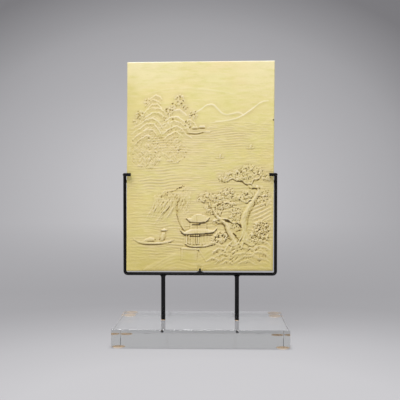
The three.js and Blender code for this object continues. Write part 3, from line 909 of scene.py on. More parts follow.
# %% The mountain
MOUNTAIN = [
    [(-76.6, 254), (-69.2, 260), (-63.3, 260.7), (-57.3, 255.5)],
    [(-82.4, 245.1), (-75.1, 253.3), (-66.2, 254), (-58.7, 248.1)],
    [(-79.4, 240.7), (-72.1, 247.3), (-64.7, 248.1), (-57.2, 242.1)],
    [(-85.3, 233.2), (-78, 240.7), (-70.6, 242.9), (-60.2, 241.4), (-51.2, 236.2)],
    [(-42.3, 236.2), (-34.9, 239.9), (-27.5, 237.7), (-20, 230.3)],
    [(-85.3, 225.8), (-76.4, 232.5), (-67.5, 236.2), (-58.6, 234), (-51.1, 227.3)],
    [(-21.4, 221.4), (-15.5, 224.3), (-9.5, 219.9), (-5, 213.9)],
    [(-52.6, 222.8), (-45.2, 228), (-36.3, 229.5), (-27.4, 225.1), (-19.9, 216.9)],
    [(-103, 211.7), (-91.2, 217.7), (-80.8, 225.1), (-71.9, 227.3), (-63, 222.8), (-55.5, 212.5)],
    [(-52.5, 215.4), (-43.7, 222.1), (-34.8, 222.8), (-25.8, 216.9), (-16.9, 206.5)],
    [(-102.9, 204.3), (-91.1, 211.7), (-79.3, 219.1), (-68.9, 218.4), (-61.4, 209.5), (-56.9, 200.6)],
    [(-56.9, 203.6), (-48.1, 210.2), (-37.7, 215.4), (-28.8, 212.5), (-21.3, 203.6), (-12.3, 197.6)],
    [(-101.4, 196.1), (-89.6, 205), (-79.2, 211), (-70.3, 209.5), (-62.8, 200.6)],
    [(-55.4, 196.1), (-45, 203.6), (-36.2, 207.3), (-25.7, 200.6)],
    [(-99.9, 187.2), (-89.5, 196.1), (-79.2, 202.1), (-68.8, 197.6)],
]
seed = np.random.default_rng(3)
for line in MOUNTAIN:
    cut = unsteady(line, 0.5)
    carving.fold(cut, 0.75 * seed.uniform(0.7, 1.2), 1.0, 5.2, 0.16)
    wipe(cut, 1.7, -0.22)
    # Painted shade: a dark line just under each crest.
    wipe(cut - (0, 2.0), 1.7, 0.22)
hatching((-68, 214), (24, 24), 260, 0.22, (25, 45, 135, 155))
hatching((-34, 208), (17, 16), 130, 0.22, (25, 45, 135, 155))
dots((-34, 214), (20, 16), 30, 1.5, 0.3)
dots((-66, 216), (22, 22), 30, 1.5, 0.2)
carving.brush(smooth([(-42.2, 225.1), (-33.3, 224.3), (-24.3, 215.4), (-16.8, 202.1)]), 4.0, 0.12)
carving.brush([(-64.3, 202.1), (-56.9, 196.1), (-47.9, 190.2)], 8.0, 0.12)
carving.tell("mountain")

# %% [markdown]
# ## Foliage
# A pine's needles are cut as fans: ridges that spread from one point with clean cuts between them, and a
# trough round the rim that sets one fan off from the next. A sine of the angle gives all needles of a fan at
# once. Broad leaves are small rounds with a nick of shade under each.


# %% Foliage
def fan(centre, radius, rise, needles, ground, spread=1.2 * np.pi, turn=np.pi / 2):
    """Ridges by angle, a raised cosine whose size grows from the middle to the rim, over part of a turn."""
    where, u, v = carving.part(centre, (1.3 * radius, 1.3 * radius))
    distance = np.hypot(u - centre[0], v - centre[1]) / radius
    angle = np.arctan2(v - centre[1], u - centre[0]) - turn
    angle = np.abs((angle + np.pi) % (2 * np.pi) - np.pi)
    inside = (distance < 1) & (angle <= spread / 2)
    carving.cut(where, 0.2 * ((distance < 1.25) & ~inside & (angle < spread / 2 + 0.3)))
    ridge = 0.5 + 0.5 * np.cos(2 * np.pi * angle * needles / spread)
    crown = np.sqrt(np.clip(1 - distance**4, 0, 1))
    open_share = np.clip(3 * distance, 0, 1)
    heights = ground + rise * crown * (0.35 + 0.65 * distance) * (1 - open_share * (1 - ridge))
    carving.cover(where, inside.astype(float), heights)


def cloud(centre, reach, count, radius, rise, ground):
    """Fans strewn over an ellipse, the lower ones in front, as foliage overlaps."""
    spots = strewn(centre, reach, count)
    for spot in spots[np.argsort(-spots[:, 1])]:
        size, lift = radius * seed.uniform(0.8, 1.2), rise * seed.uniform(0.8, 1.2)
        fan(spot, size, lift, seed.integers(5, 8), ground, turn=np.pi / 2 + seed.normal() * 0.35)


def leaves(centre, reach, count, size, rise, ground):
    """Small round leaves, each with a nick of shade under it."""
    for spot in strewn(centre, reach, count):
        where, u, v = carving.part(spot, (1.8 * size, 1.8 * size))
        under = np.hypot(u - spot[0] - 0.5 * size, v - spot[1] + size) / size
        carving.cut(where, 0.5 * rise * np.clip(1 - under, 0, 1))
        leaf = np.clip(1 - (np.hypot(u - spot[0], v - spot[1]) / size) ** 2, 0, 1)
        carving.raise_to(where, np.where(leaf > 0, (ground + rise) * np.sqrt(leaf), NOTHING))


print("foliage: fan, cloud, leaves")

# %% [markdown]
# ## Small pines on the mountain
# Each is a short trunk under a round of leaves, some bare of glaze and some dark with it. At this size
# needles would be finer than the grid, so specks stand for them.

# %% Small pines on the mountain
MOUNTAIN_PINES = [(-90, 232, 7.0), (-31, 254, 7.5), (-47, 237, 6.5), (-11, 232, 6.0), (-79, 252, 4.5),
                  (-23, 243, 4.5), (-18, 218, 6.5), (-98, 222, 3.5), (-40, 246, 5.0), (-53, 226, 4.0)]
seed = np.random.default_rng(4)
for u, v, radius in MOUNTAIN_PINES:
    carving.bead([(u, v), (u + 1.5, v - 1.5 * radius)], 1.3, 0.7)
    leaves((u, v), (radius, radius), int(0.6 * radius**2), 1.15, 0.4, 0.3)
    dots((u, v), (radius, radius), int(0.5 * radius**2), 1.5, -0.3)
    dots((u, v), (0.9 * radius, 0.9 * radius), int(0.45 * radius**2), 1.7, 0.5)
carving.tell("small pines")

# %% [markdown]
# ## Reeds and reflections
# Below the mountain the water is cut in small crossed strokes: reeds, and the mountain's broken reflection.
# They lean to both sides by chance, so no net of lines appears.

# %% Reeds and reflections
REEDS = [
    ((-82, 178), (26, 25), 520),
    ((-76, 164), (18, 12), 110),
    ((-38, 180), (19, 19), 270),
]
seed = np.random.default_rng(5)
for centre, reach, count in REEDS:
    hatching(centre, reach, count, 0.22, (42, 50, 130, 138))
    hatching(centre, reach, int(0.8 * count), -0.2, (45, 135))
carving.tell("reeds")

# %% [markdown]
# ## Houses and sails
# Tiny things stand far away: two houses on a ledge by the mountain, and two sails on the water. A few patches
# and rolls make each of them, since anything finer would blur into the ripples.

# %% Houses and sails
HOUSES = ((-12, -4, 208), (-2, 7, 209))
SAILS = ((74, 182), (29, 168))
carving.bead(smooth([(-18, 206), (-6, 205), (3, 207), (14, 206.5)]), 1.6, 0.7, moat=0.5)
# Painted shade: a dark line under the ledge.
carving.brush([(-16, 204), (-4, 203.6), (4, 205)], 1.8, 0.35)
for low, high, floor in HOUSES:
    roof = [(low - 1.5, floor + 4), (high + 1.5, floor + 4), (high - 1, floor + 7), (low + 1, floor + 7)]
    carving.pad([(low, floor), (high, floor), (high, floor + 4), (low, floor + 4)], 0.5, 1.0)
    carving.pad(roof, 1.0, 1.0, moat=0.3)
    # Painted shade in the windows.
    carving.brush([(low + 1, floor + 2.6), (high - 1, floor + 2.6)], 2.2, 0.45)
for u, v in SAILS:
    carving.bead(smooth([(u - 5, v + 0.6), (u, v - 0.8), (u + 5, v + 0.8)]), 1.6, 0.6, moat=0.4)
    carving.pad([(u - 1.5, v), (u + 1.7, v), (u + 2.2, v + 6), (u - 0.5, v + 5)], 0.7, 1.0, moat=0.45)
carving.tell("houses and sails")

# %% [markdown]
# ## The near bank
# The near shore rises out of the water as a smooth bank, lightly furrowed along the shore. It reaches to
# the bottom edge, so it isn't a fold but everything below one line.

# %% The near bank
BANK = [(-84, 4), (-72, 12), (-58, 19), (-44, 26), (-31, 30), (-8, 27), (6, 32), (24, 38), (42, 43),
        (62, 46), (84, 42), (106, 38)]
BANK_RISE = 0.6


def lay_bank():
    """Under the shore line the ripples give way to a level rise with a sine's furrows along it."""
    line = smooth(BANK)
    where, u, v = carving.part((10, 24), (100, 26))
    shore = np.interp(u[0], line[:, 0], line[:, 1], left=-20)
    below = shore[None, :] - v
    share = np.clip(below / 4, 0, 1)
    furrows = 0.09 * np.sin(2 * np.pi * (below + 2.5 * wander(u, v, 12, 12)) / 5.2)
    carving.cover(where, share, BANK_RISE + furrows)


lay_bank()
carving.tell("bank")

# %% [markdown]
# ## Ridges and rocks
# Long ridges run up to the right edge behind the bank. In front of them the rocks are arches like the
# mountain's, but bolder, with dark nicks and hatching between, since they are nearer to the eye.

# %% Ridges and rocks
seed = np.random.default_rng(6)
for height in np.arange(0, 30, 5.2):
    start = np.array([73 + 0.3 * height, 92 - height])
    end = np.array([106, 107 - 1.1 * height])
    middle = (start + end) / 2 + seed.uniform(-2, 0.5, 2)
    carving.fold(smooth([start, middle, end]), 1.0, 1.0, 3.6, 0.15)
ROCKS = [
    [(5.1, 36.6), (14, 41), (22.9, 41.8), (33.3, 37.3)],
    [(74.9, 40.3), (85.2, 46.2), (95.6, 44.7), (106, 37.3)],
    [(36.3, 29.9), (42.2, 38.8), (48.1, 44), (55.5, 43.2)],
    [(42.3, 28.4), (48.2, 35.8), (55.6, 40.3), (64.5, 37.3)],
    [(62.9, 47.7), (71.8, 45.5), (79.3, 40.3), (85.3, 34.3)],
    [(77.9, 31.4), (85.3, 35.8), (94.2, 36.6), (104.6, 31.4)],
    [(18.5, 26.9), (25.9, 32.8), (33.3, 33.6), (40.8, 28.4)],
    [(46.7, 26.9), (54.1, 32.1), (63, 34.3), (74.9, 34.3), (83.8, 28.4)],
    [(21.6, 19.5), (27.5, 23.9), (36.4, 26.2), (45.3, 22.5)],
    [(42.4, 16.5), (51.2, 23.9), (61.6, 26.9), (75, 26.2), (85.4, 21.7), (94.3, 16.5)],
    [(75, 22.5), (85.3, 28.4), (95.7, 26.9), (106.2, 19.5)],
    [(9.7, 13.5), (15.6, 18.7), (23, 19.5), (29, 15)],
    [(21.6, 9.1), (29, 15.8), (37.9, 20.2), (46.8, 19.5), (54.3, 13.5)],
    [(49.8, 10.6), (60.2, 18.7), (70.5, 22.5), (80.9, 21.7), (89.9, 16.5)],
    [(81, 12.1), (88.4, 18), (97.3, 18), (106.2, 12.1)],
    [(29.1, 7.6), (36.4, 13.5), (43.9, 15), (51.3, 9.1)],
    [(54.3, 7.6), (63.2, 14.3), (73.5, 15), (84, 9.1)],
]
for line in ROCKS:
    cut = unsteady(line, 0.45)
    carving.fold(cut, 1.2 * seed.uniform(0.7, 1.2), 1.1, 5.0, 0.3)
    wipe(cut, 1.9, -0.22)
nicks((62, 24), (42, 14), 34, 3.4, 0.9)
hatching((60, 24), (44, 15), 130, 0.4, (15, 35, 60, 150))
dots((60, 24), (42, 14), 50, 2.0, 0.3)
carving.fold(smooth([(6, 6), (40, 9), (80, 9), (104, 8)]), 0.5, 1.5, 3.0)
carving.tell("rocks")

# %% [markdown]
# ## The pavilion
# Two hipped roofs with upturned corners stand over a row of posts. Each roof is a patch inside an outline.
# Single tiles would be finer than the grid, so furrows that run down from the ridge stand for them.

# %% The pavilion
UPPER_ROOF = [(-18.9, 78.6), (-12.9, 73.2), (-2.6, 72.6), (8.6, 73.2), (13.4, 79.2),
              (9.3, 79.6), (4.8, 83.3), (-7.1, 83.3), (-14.5, 78.9)]
LOWER_ROOF = [(-27.7, 60), (-21.7, 55.2), (0.5, 55.8), (18.3, 57.2), (24.3, 62.5),
              (19.8, 61), (10.9, 62.5), (-14.4, 62.5), (-21.8, 58.8)]
POSTS = (-19.5, -15.5, -8, -4.5, -2, 4, 9, 14)
TILE_PITCH = 2.7


def tile(outline, depth):
    """Furrows down a roof: a sine of u inside its outline."""
    outline = np.asarray(outline, float)
    middle, reach = (outline.max(0) + outline.min(0)) / 2, np.ptp(outline, axis=0) / 2
    where, u, v = carving.part(middle, reach)
    furrows = np.clip(np.sin(2 * np.pi * u / TILE_PITCH), 0, 1)
    carving.cut(where, depth * furrows * inside_outline(outline, u, v))


carving.pad([(-25, 36), (20, 39), (18, 56), (-22, 55)], 0.2, 1.0, moat=0.2)
for u in POSTS:
    carving.bead([(u, 41), (u, 54)], 1.5, 0.9 if u < 0 else 0.6, moat=0.7 if u < 0 else 0.4)
carving.pad([(-14, 60), (10, 60), (10, 74), (-14, 74)], 0.9, 1.0, moat=0.2)
for v in (64, 67):
    carving.groove([(-13, v), (9, v)], 1.8, 0.5)
carving.pad(LOWER_ROOF, 1.9, 2.0, slope=-0.05, moat=0.5)
carving.pad(UPPER_ROOF, 2.1, 2.0, slope=-0.05, moat=0.5)
tile(LOWER_ROOF, 0.25)
tile(UPPER_ROOF, 0.2)
carving.tell("pavilion")

# %% [markdown]
# ## Eaves
# Each eave is a proud roll with its glaze worn thin. Right under it lies painted shade, dark and almost
# black, which is what makes the pavilion read at once. A cut that looks so dark would have to be deep, so the
# painted shade makes the dark and the carving stays shallow.


# %% Eaves
def brush_each(strokes, spread=1.0):
    """Brushes every line of a list with its own width, times the spread, and its own amount."""
    for line, width, amount in strokes:
        carving.brush(line, spread * width, amount)


EAVES = [
    ([(-19.7, 79.3), (-15.9, 75.6), (-12.2, 73.9), (-2.6, 73.4), (7.2, 74), (11.2, 76), (13.8, 79.8)], 2.5),
    ([(-28.5, 61.4), (-24.7, 57.6), (-21, 56), (0.5, 56.6), (17.3, 58.1), (21.6, 59.8), (24.6, 63.7)], 2.5),
    ([(-11.5, 81.1), (-5.6, 83.6), (3.3, 83.6), (9.3, 80.3)], 1.9),
    ([(-15.8, 61), (-2.5, 62.2), (12.4, 62.2)], 1.8),
]
for line, rise in EAVES:
    carving.bead(smooth(line), 1.5, rise - 0.2)
    carving.brush(smooth(line), 1.8, -0.15)
# Painted shade: dark lines under the eaves, between the posts and on the wall.
SHADE_UNDER_EAVES = [
    ([(-18.2, 75.8), (-13.7, 72.2), (-2.5, 71.4), (8.6, 72.2), (12.6, 75.2)], 1.7, 0.1),
    ([(-10.7, 69.1), (-5.5, 68.8), (0.4, 69.1)], 2.2, 1.1),
    ([(-1, 70.3), (9, 71.2)], 2.0, 0.5),
    ([(-26.9, 56.6), (-22.5, 53), (-18.7, 52.4)], 2.2, 0.5),
    ([(-20.2, 54.1), (0.5, 54.4), (12.4, 55.4), (20, 56.4), (23.7, 60.2)], 1.7, 0.1),
    ([(-14.3, 51.7), (-5.4, 51.4), (0.6, 51.7)], 2.2, 1.1),
    ([(-0.9, 52.2), (8, 52.9), (18.4, 53.6)], 2.0, 0.9),
    ([(-15.8, 49.2), (-14.3, 46.2)], 2.2, 0.3),
    ([(-8.3, 49.2), (-6.8, 40.3)], 1.8, 0.25),
    ([(-11.4, 65.5), (12.3, 66.1)], 1.8, 0.2),
]
brush_each(SHADE_UNDER_EAVES)
carving.tell("eaves")

# %% [markdown]
# ## Railing and terrace
# Two rails with short posts between them bow along the floor, over a terrace wall. The rails are rolls, and
# the wall is a patch with a roll along each of its edges, because light has to catch the edge of a wall.

# %% Railing and terrace
carving.bead(smooth([(-21.6, 41), (-12.7, 37.3), (-0.8, 36.9), (11, 38), (22.9, 41.8)]), 1.5, 1.3, moat=0.7)
carving.bead(smooth([(-20.2, 44), (-11.2, 41), (-0.9, 40.6), (11, 41.8), (19.9, 44.7)]), 1.2, 0.8)
for u in np.arange(-20, 17, 4.4):
    carving.bead([(u, 38 + 0.1 * abs(u)), (u, 42 + 0.1 * abs(u))], 1.2, 1.0)
# Painted shade: a dark line under the lower rail.
carving.brush([(-22.4, 37.3), (-14.2, 34.3), (-2.3, 33.9)], 2.0, 0.3)
carving.pad([(-26, 17), (-4, 15), (-2, 32), (-16, 34), (-26, 34.5)], 0.9, 1.2)
carving.bead([(-26, 34), (-16, 33.4), (-1, 32.6)], 2.6, 1.5, moat=0.5)
carving.bead([(-26, 34), (-26.4, 17)], 1.6, 1.1, moat=0.3)
carving.bead([(-1, 33), (4, 24), (10, 15)], 1.8, 0.9, moat=0.3)
carving.tell("terrace")

# %% [markdown]
# ## Foliage of the big pines
# Two old pines lean over the bank, and their foliage hangs in flat clouds. Each cloud is strewn with fans,
# hatched, nicked dark, and specked with glaze laid on and wiped off, because one kind of mark alone would
# look stamped. The clouds come before the trunks, which pass in front of most of them.

# %% Foliage of the big pines
CLOUDS = [
    (74, 152, 11, 3, 12), (60, 147, 8, 4, 10), (88, 146, 9, 5, 12), (97, 138, 5, 5, 7), (70, 140, 8, 4, 9),
    (46, 141, 8, 4, 11), (34, 136, 7, 4, 9), (56, 137, 7, 3, 8), (39, 117, 9, 4, 11), (30, 110, 7, 4, 8),
    (48, 110, 6, 4, 7), (70, 113, 9, 5, 12), (62, 107, 5, 4, 6), (96, 114, 6, 5, 8), (95, 102, 7, 5, 8),
    (84, 104, 4, 4, 5), (10, 112, 8, 4, 9), (5, 106, 6, 4, 6), (20, 107, 6, 4, 7), (17, 92, 8, 4, 9),
    (27, 97, 6, 4, 7), (43, 98, 8, 4, 8), (53, 88, 7, 5, 9), (56, 70, 6, 4, 8), (52, 79, 6, 3, 6),
    (26, 74, 6, 3, 6), (47, 66, 4, 3, 4), (24, 86, 5, 3, 5),
]
seed = np.random.default_rng(8)
for u, v, ru, rv, count in CLOUDS:
    cloud((u, v), (ru, rv), 2 * count, 3.6, 1.1, 0.2)
    hatching((u, v), (ru, rv), 2 * count, 0.35, (20, 60, 100, 150))
    nicks((u, v), (ru, rv), int(0.8 * count), 2.2, 1.2)
    dots((u, v), (ru, rv), int(1.2 * count), 1.7, 0.33)
    dots((u, v), (ru, rv), int(0.8 * count), 1.7, -0.3)
carving.tell("foliage")

# %% [markdown]
# ## Trunks and branches
# A trunk is a roll like any branch, but its bark is furrowed lengthwise and broken by knots, and a shallow
# trough runs along both sides. The branches rise and sink in short lengths, as they pass through the
# foliage.


# %% Trunks and branches
def trunk(points, width, end_width, rise, moat):
    """A tapering swelling over what is behind it, less bark: sines of the place across and along it."""
    where, distance, share, side = carving.along(smooth(points), width / 2 + MOAT_WIDTH)
    half = (width + (end_width - width) * share**0.8) / 2
    half *= 1 + 0.10 * np.sin(31 * share) + 0.07 * np.sin(57 * share + 1)
    carving.moat(where, distance - half, moat)
    across = np.clip(distance / half, 0, 1) * side
    bark = 0.16 * np.sin(8 * across + 3 * np.sin(19 * share)) + 0.12 * np.sin(70 * share + 4 * across)
    roll = 1 - across**2
    carving.cover(where, (roll > 0).astype(float), (rise - bark) * roll**0.7)


RIGHT_TRUNK = [(68.9, 46.2), (65.1, 58.1), (64.3, 70), (65.7, 80.3), (71.5, 92.2),
               (78.1, 102.6), (83.3, 111.5), (86.9, 118.9), (84.7, 124.9)]
LEFT_TRUNK = [(54.1, 37.3), (48.8, 49.2), (43.5, 59.6), (40.5, 68.5), (34.5, 74.4),
              (27.1, 80.3), (22.6, 86.3), (19.6, 92.2)]
BRANCHES = [
    [(86, 122), (80, 125), (76, 130), (68, 130), (63, 135), (55, 135), (48, 138), (40, 134), (34, 133)],
    [(76, 129), (79, 136), (86, 137), (90, 142), (97, 141)],
    [(80, 104), (74, 106), (69, 102), (62, 105)],
    [(85, 112), (92, 112), (95, 106), (100, 104)],
    [(21, 92), (15, 98), (14, 103), (6, 103), (0, 108)],
    [(28, 83), (33, 92), (32, 99), (41, 102), (49, 97)],
    [(35, 78), (43, 77), (49, 72), (57, 72), (61, 67)],
    [(34, 77), (27, 77), (19, 74)],
    [(58, 44), (64, 56), (61, 66)],
]
trunk(RIGHT_TRUNK, 13.0, 4.0, 1.3, 0.15)
trunk(LEFT_TRUNK, 10.0, 3.4, 1.5, 0.3)
for branch in BRANCHES:
    line = smooth(branch)
    for first in range(0, len(line) - 5, 6):
        carving.bead(line[first : first + 6], 1.9, seed.uniform(0.7, 1.5), 1.6, moat=seed.uniform(0.1, 0.8))
carving.tell("trunks")

# %% [markdown]
# ## Painted shade and highlights
# Dark lines of painted shade are brushed into the glaze under the foliage and along the trunks, and painted
# highlights are wiped pale on the upper sides of the boughs. The relief alone gives soft shade, so these
# lines are brushed where they are darkest.

# %% Painted shade and highlights
SHADE_SPREAD = 1.1
# Painted shade: dark lines under the foliage and along the trunks.
SHADE = [
    ([(56.4, 133.8), (63.8, 131.1), (69.8, 127.1), (74.3, 122.7)], 2.6, 0.45),
    ([(77.3, 121.9), (81.7, 122.9), (88.4, 122.7)], 2.6, 0.6),
    ([(87.7, 111.5), (80.4, 96.7), (74.5, 86.3), (71.6, 77.4), (70.9, 68.5)], 2, 0.32),
    ([(25.5, 98.2), (29.9, 100.1), (35.8, 101.7)], 2.2, 0.5),
    ([(4.6, 104.8), (10.6, 103.4), (19.5, 104.1)], 1.8, 0.3),
    ([(12.9, 95.2), (18.1, 94.6)], 2, 0.4),
    ([(7.7, 86.3), (13.7, 82.6), (19.6, 84.1)], 1.8, 0.3),
    ([(20.3, 89.3), (24.1, 83.3)], 2.2, 0.4),
    ([(22.7, 67.7), (28.6, 69.7), (36.1, 68.5)], 2, 0.45),
    ([(30.1, 77.4), (34.5, 76.6), (39, 74.4)], 1.8, 0.4),
    ([(38.2, 74.1), (43.5, 72.9)], 2.6, 0.9),
    ([(43.5, 72.5), (47.9, 72)], 2.2, 0.5),
    ([(52.4, 72.9), (56.8, 70), (59.8, 67)], 1.8, 0.4),
    ([(59.5, 68.8), (61.3, 64.8)], 3, 0.9),
    ([(53.9, 58.1), (58.4, 60.3), (62.8, 61)], 2, 0.4),
    ([(50, 55.6), (53.7, 52.1)], 2.6, 0.9),
    ([(54, 50.7), (58.5, 45.5)], 2, 0.45),
    ([(36.1, 67), (39.1, 58.1), (46.6, 47.7), (51.1, 41.8)], 2, 0.3),
    ([(67, 98.2), (61.2, 84.8), (56.8, 75.9)], 1.8, 0.12),
    ([(74.2, 132.3), (81.6, 132.3), (87.5, 135.3)], 2, 0.3),
    ([(-33.8, 83.3), (-30.8, 74.4), (-26.3, 64.8), (-22.5, 60.5)], 2.2, 0.4),
]
brush_each(SHADE, SHADE_SPREAD)
# Painted highlights: pale lines on the upper sides of the boughs.
PAINTED_HIGHLIGHTS = [
    ([(41.5, 133.8), (48.9, 135.9), (56.4, 136.5), (65.3, 139)], 2.2, -0.25),
    ([(71.3, 126.4), (81.7, 127.1), (92.1, 125.6)], 2.6, -0.25),
    ([(18, 104.8), (28.4, 105.1), (38.8, 106.2)], 2.2, -0.25),
    ([(25.6, 81.1), (31.5, 78.9), (39, 77.4)], 2, -0.2),
    ([(90.6, 121.9), (87.7, 114.5), (83.3, 105.6)], 2.2, -0.2),
    ([(42, 72.9), (46.5, 62.5), (54, 49.2)], 3, -0.12),
    ([(-27.8, 74.4), (-24.8, 68.5)], 3, -0.15),
]
brush_each(PAINTED_HIGHLIGHTS)
print(f"glaze brushed from {carving.glaze.min():.2f} to {carving.glaze.max():.2f}")

# %% [markdown]
# ## Roots and bushes
# Roots spread over the rocks at the foot of the trunks, and bushes of small leaves grow beside them, made
# from the same marks as the clouds in another measure.

# %% Roots and bushes
for line in ([(67, 44), (76, 38), (82, 40)], [(58, 42), (50, 38), (44, 40)], [(64, 42), (62, 34)]):
    carving.bead(smooth(line), 3.2, 1.4, 1.4, moat=0.6)
BUSHES = [
    ((92, 64), (12, 11), 130),
    ((88, 52), (15, 12), 150),
    ((31, 50), (10, 8), 90),
    ((21, 46), (5, 5), 30),
]
for centre, reach, count in BUSHES:
    leaves(centre, reach, int(0.7 * count), 1.2, 0.6, 0.4)
    hatching(centre, reach, count, 0.4, (30, 60, 120, 150))
    nicks(centre, reach, count // 4, 1.8, 1.2)
    dots(centre, reach, int(0.9 * count), 1.6, 0.27)
    dots(centre, reach, int(0.6 * count), 1.6, -0.25)
for branch in ([(84, 42), (87, 52), (86, 60), (92, 70)], [(28, 42), (31, 51), (36, 58)]):
    carving.bead(smooth(branch), 1.5, 1.2, 1.0, moat=0.5)
carving.tell("bushes")

# %% [markdown]
# ## The willow
# A willow leans out of the bank on the left. Its strands all start along one sloping branch and hang in
# curves that swing left near their ends. Fine strokes that add up make them, as they cross and tangle.


# %% The willow
WILLOW_BRANCH = [(-25, 128), (-38, 121), (-52, 114), (-70, 105)]


def strands(start, end, count, drop, swing, width, rise):
    """Strand number n leaves the branch at an even share of its length and falls along a parabola."""
    fall = np.linspace(0, 1, 10)
    for share in np.linspace(0, 1, count):
        top = np.array(start) + share * (np.array(end) - np.array(start))
        length = drop * seed.uniform(0.65, 1.1)
        sideways = swing * seed.uniform(0.6, 1.2) * fall**2 + 0.7 * np.sin(7 * fall + seed.uniform(0, 6))
        carving.stroke(np.column_stack([top[0] - sideways, top[1] - length * fall]), width, rise)


seed = np.random.default_rng(9)
strands((-38, 120), (-70, 104), 26, 30, 12, 1.7, 0.42)
strands((-34, 108), (-52, 104), 14, 34, 20, 1.8, 0.44)
strands((-14, 120), (-34, 116), 14, 30, 4, 1.6, 0.3)
hatching((-50, 108), (20, 12), 280, 0.17, (45, 60, 125))
hatching((-24, 104), (11, 20), 260, 0.17, (50, 65, 120))
hatching((-46, 106), (22, 12), 120, -0.11, (50, 65, 120))
hatching((-24, 104), (11, 20), 100, -0.11, (50, 65, 120))
for share in np.linspace(0, 1, 12):
    dots((-25 - 34 * share, 126.5 - 16 * share), (2, 1.2), 3, 1.7, 0.5 - 0.2 * share)
carving.stroke(smooth(WILLOW_BRANCH), 1.6, 0.5)
carving.bead(smooth([(-22, 61), (-27, 68), (-30, 74), (-33, 84)]), 2.4, 1.0, 0.8, moat=0.2)
for share in np.linspace(0, 1, 9):
    dots((-33 - 1.5 * np.sin(3 * share), 84 + 24 * share), (2.2, 1.6), 4, 1.7, 0.27)
dots((-27, 100), (7, 10), 30, 1.5, 0.2)
dots((-44, 111), (12, 5), 30, 1.5, 0.2)
carving.tell("willow")

# %% [markdown]
# ## The boat
# A sampan with a low matting roof, and a boatman under a wide straw hat. At this size the figure is a robe
# and a hat, with a dark edge of painted shade under the brim, and painted shade in the robe's folds.

# %% The boat
HULL = [(-97.4, 46.9), (-91.4, 42.8), (-81, 40.3), (-61.7, 40.3), (-48.4, 41.8), (-39.5, 45),
        (-49.9, 44.3), (-67.7, 43.5), (-87, 44.7)]
carving.pad(HULL, 1.1, 1.2, moat=0.3)
carving.bead(smooth([(-98.1, 47.7), (-89.9, 44), (-75.1, 42), (-58.8, 42.8), (-39.5, 46.2)]), 1.4, 1.1)
# Painted shade: a dark line along the hull's lower edge.
carving.brush(smooth([(-95.9, 44.7), (-88.4, 40.9), (-75.1, 39.1), (-58.7, 39.4)]), 1.8, 0.1)
carving.pad([(-85.5, 44.3), (-81.1, 48.4), (-73.7, 51.2), (-67.7, 49.6), (-65.5, 44.3)], 1.1, 2.5, moat=0.3)
# Painted shade at the open end of the roof.
carving.brush([(-69.9, 44.7), (-66.2, 46.9)], 2.4, 0.35)
ROBE = [(-58.8, 45.5), (-58.1, 52.1), (-55.9, 58.1), (-51.4, 58.1), (-50.7, 52.1), (-54.3, 45.5)]
carving.pad(ROBE, 1.0, 1.5, moat=0.3)
carving.pad([(-58.9, 60.2), (-53, 64), (-47, 61), (-52.9, 59.6)], 1.5, 1.0, moat=0.2)
# Painted shade under the hat's brim.
carving.brush([(-57.4, 59.9), (-48.5, 59.9)], 1.7, 0.3)
# Painted shade in the robe's folds.
for line in ([(-60.3, 46.9), (-57.3, 49.9)], [(-52.9, 49.9), (-52.2, 55.1)]):
    carving.brush(line, 2.2, 0.3)
carving.tell("boat")

# %% [markdown]
# ## Rims
# The whole picture is pressed back to a shallower depth, as worn and glazed carving is. It ends before the
# arris, and stays low where the cradle's tips and the saddle's prong pass over the face when the plaque is
# lifted out. A hairline crack from the firing runs down past the pavilion.

# %% Rims
PRESSED = 0.62
RIM_START = 0.6 * ARRIS
RIM = 2.6
TIP_STRIP = 9.0
TIP_LIMIT = 1.1
PRONG_STRIP = 3.2
PRONG_RISE = 8.0


def settle_rims():
    """Presses the relief back, fades it to nothing at the rim and caps it where the wire stand passes."""
    edge = np.minimum(SLAB_WIDTH / 2 - np.abs(carving.u), np.minimum(carving.v, SLAB_TALL - carving.v))
    carving.height *= PRESSED * np.clip((edge - RIM_START) / RIM, 0, 1)
    side = SLAB_WIDTH / 2 - np.abs(carving.u) < TIP_STRIP
    carving.height[side] = np.minimum(carving.height[side], TIP_LIMIT)
    prong = (np.abs(carving.u) < PRONG_STRIP) & (carving.v < PRONG_RISE)
    carving.height[prong] = np.minimum(carving.height[prong], 0.0)


carving.groove([(-4.5, 82), (-3.5, 60), (-4, 40), (-3, 18)], 1.8, 0.5)
settle_rims()
print(f"relief from {carving.height.min():.2f} to {carving.height.max():.2f} mm")

# %% [markdown]
# ## Where the glaze pools and the shade falls
# Glaze runs off high edges and gathers in hollows, and shade falls in hollows and under edges. Comparing each
# height with the mean of its neighbourhood tells which is which, and one number paints both: pooled glaze and
# painted shade. The mean of those differences, whatever their sign, tells how crowded the carving is.
# Both results are stored on the mesh for the material to read.

# %% Where the glaze pools
OPEN_GROUND = 0.4
WIDE_SHARE = 0.3
# The mean is taken this many cells higher up, for painted shade under edges; the hollow gains darken by
# pooled glaze and painted shade together.
SHADE_SHIFT_CELLS = 1
CREST_GAIN = 0.7
HOLLOW_GAIN = 0.5
DEEP_GAIN = 0.8
THINNEST = 0.1
CROWD_GAIN = 9.0
# Painted highlight: the top rim is palest, thin glaze where the light from above catches it.
THIN_LIT_TOP_RIM = 0.0
GLAZED_RIM = 0.3


def neighbourhood_mean(heights, cells):
    """A box mean of the given half width, by running sums along each axis."""
    for axis in (0, 1):
        pad = [(0, 0), (0, 0)]
        pad[axis] = (cells + 1, cells)
        sums = np.cumsum(np.pad(heights, pad, mode="edge"), axis=axis)
        span = 2 * cells + 1
        heights = (np.take(sums, range(span, sums.shape[axis]), axis=axis)
                   - np.take(sums, range(0, sums.shape[axis] - span), axis=axis)) / span
    return heights


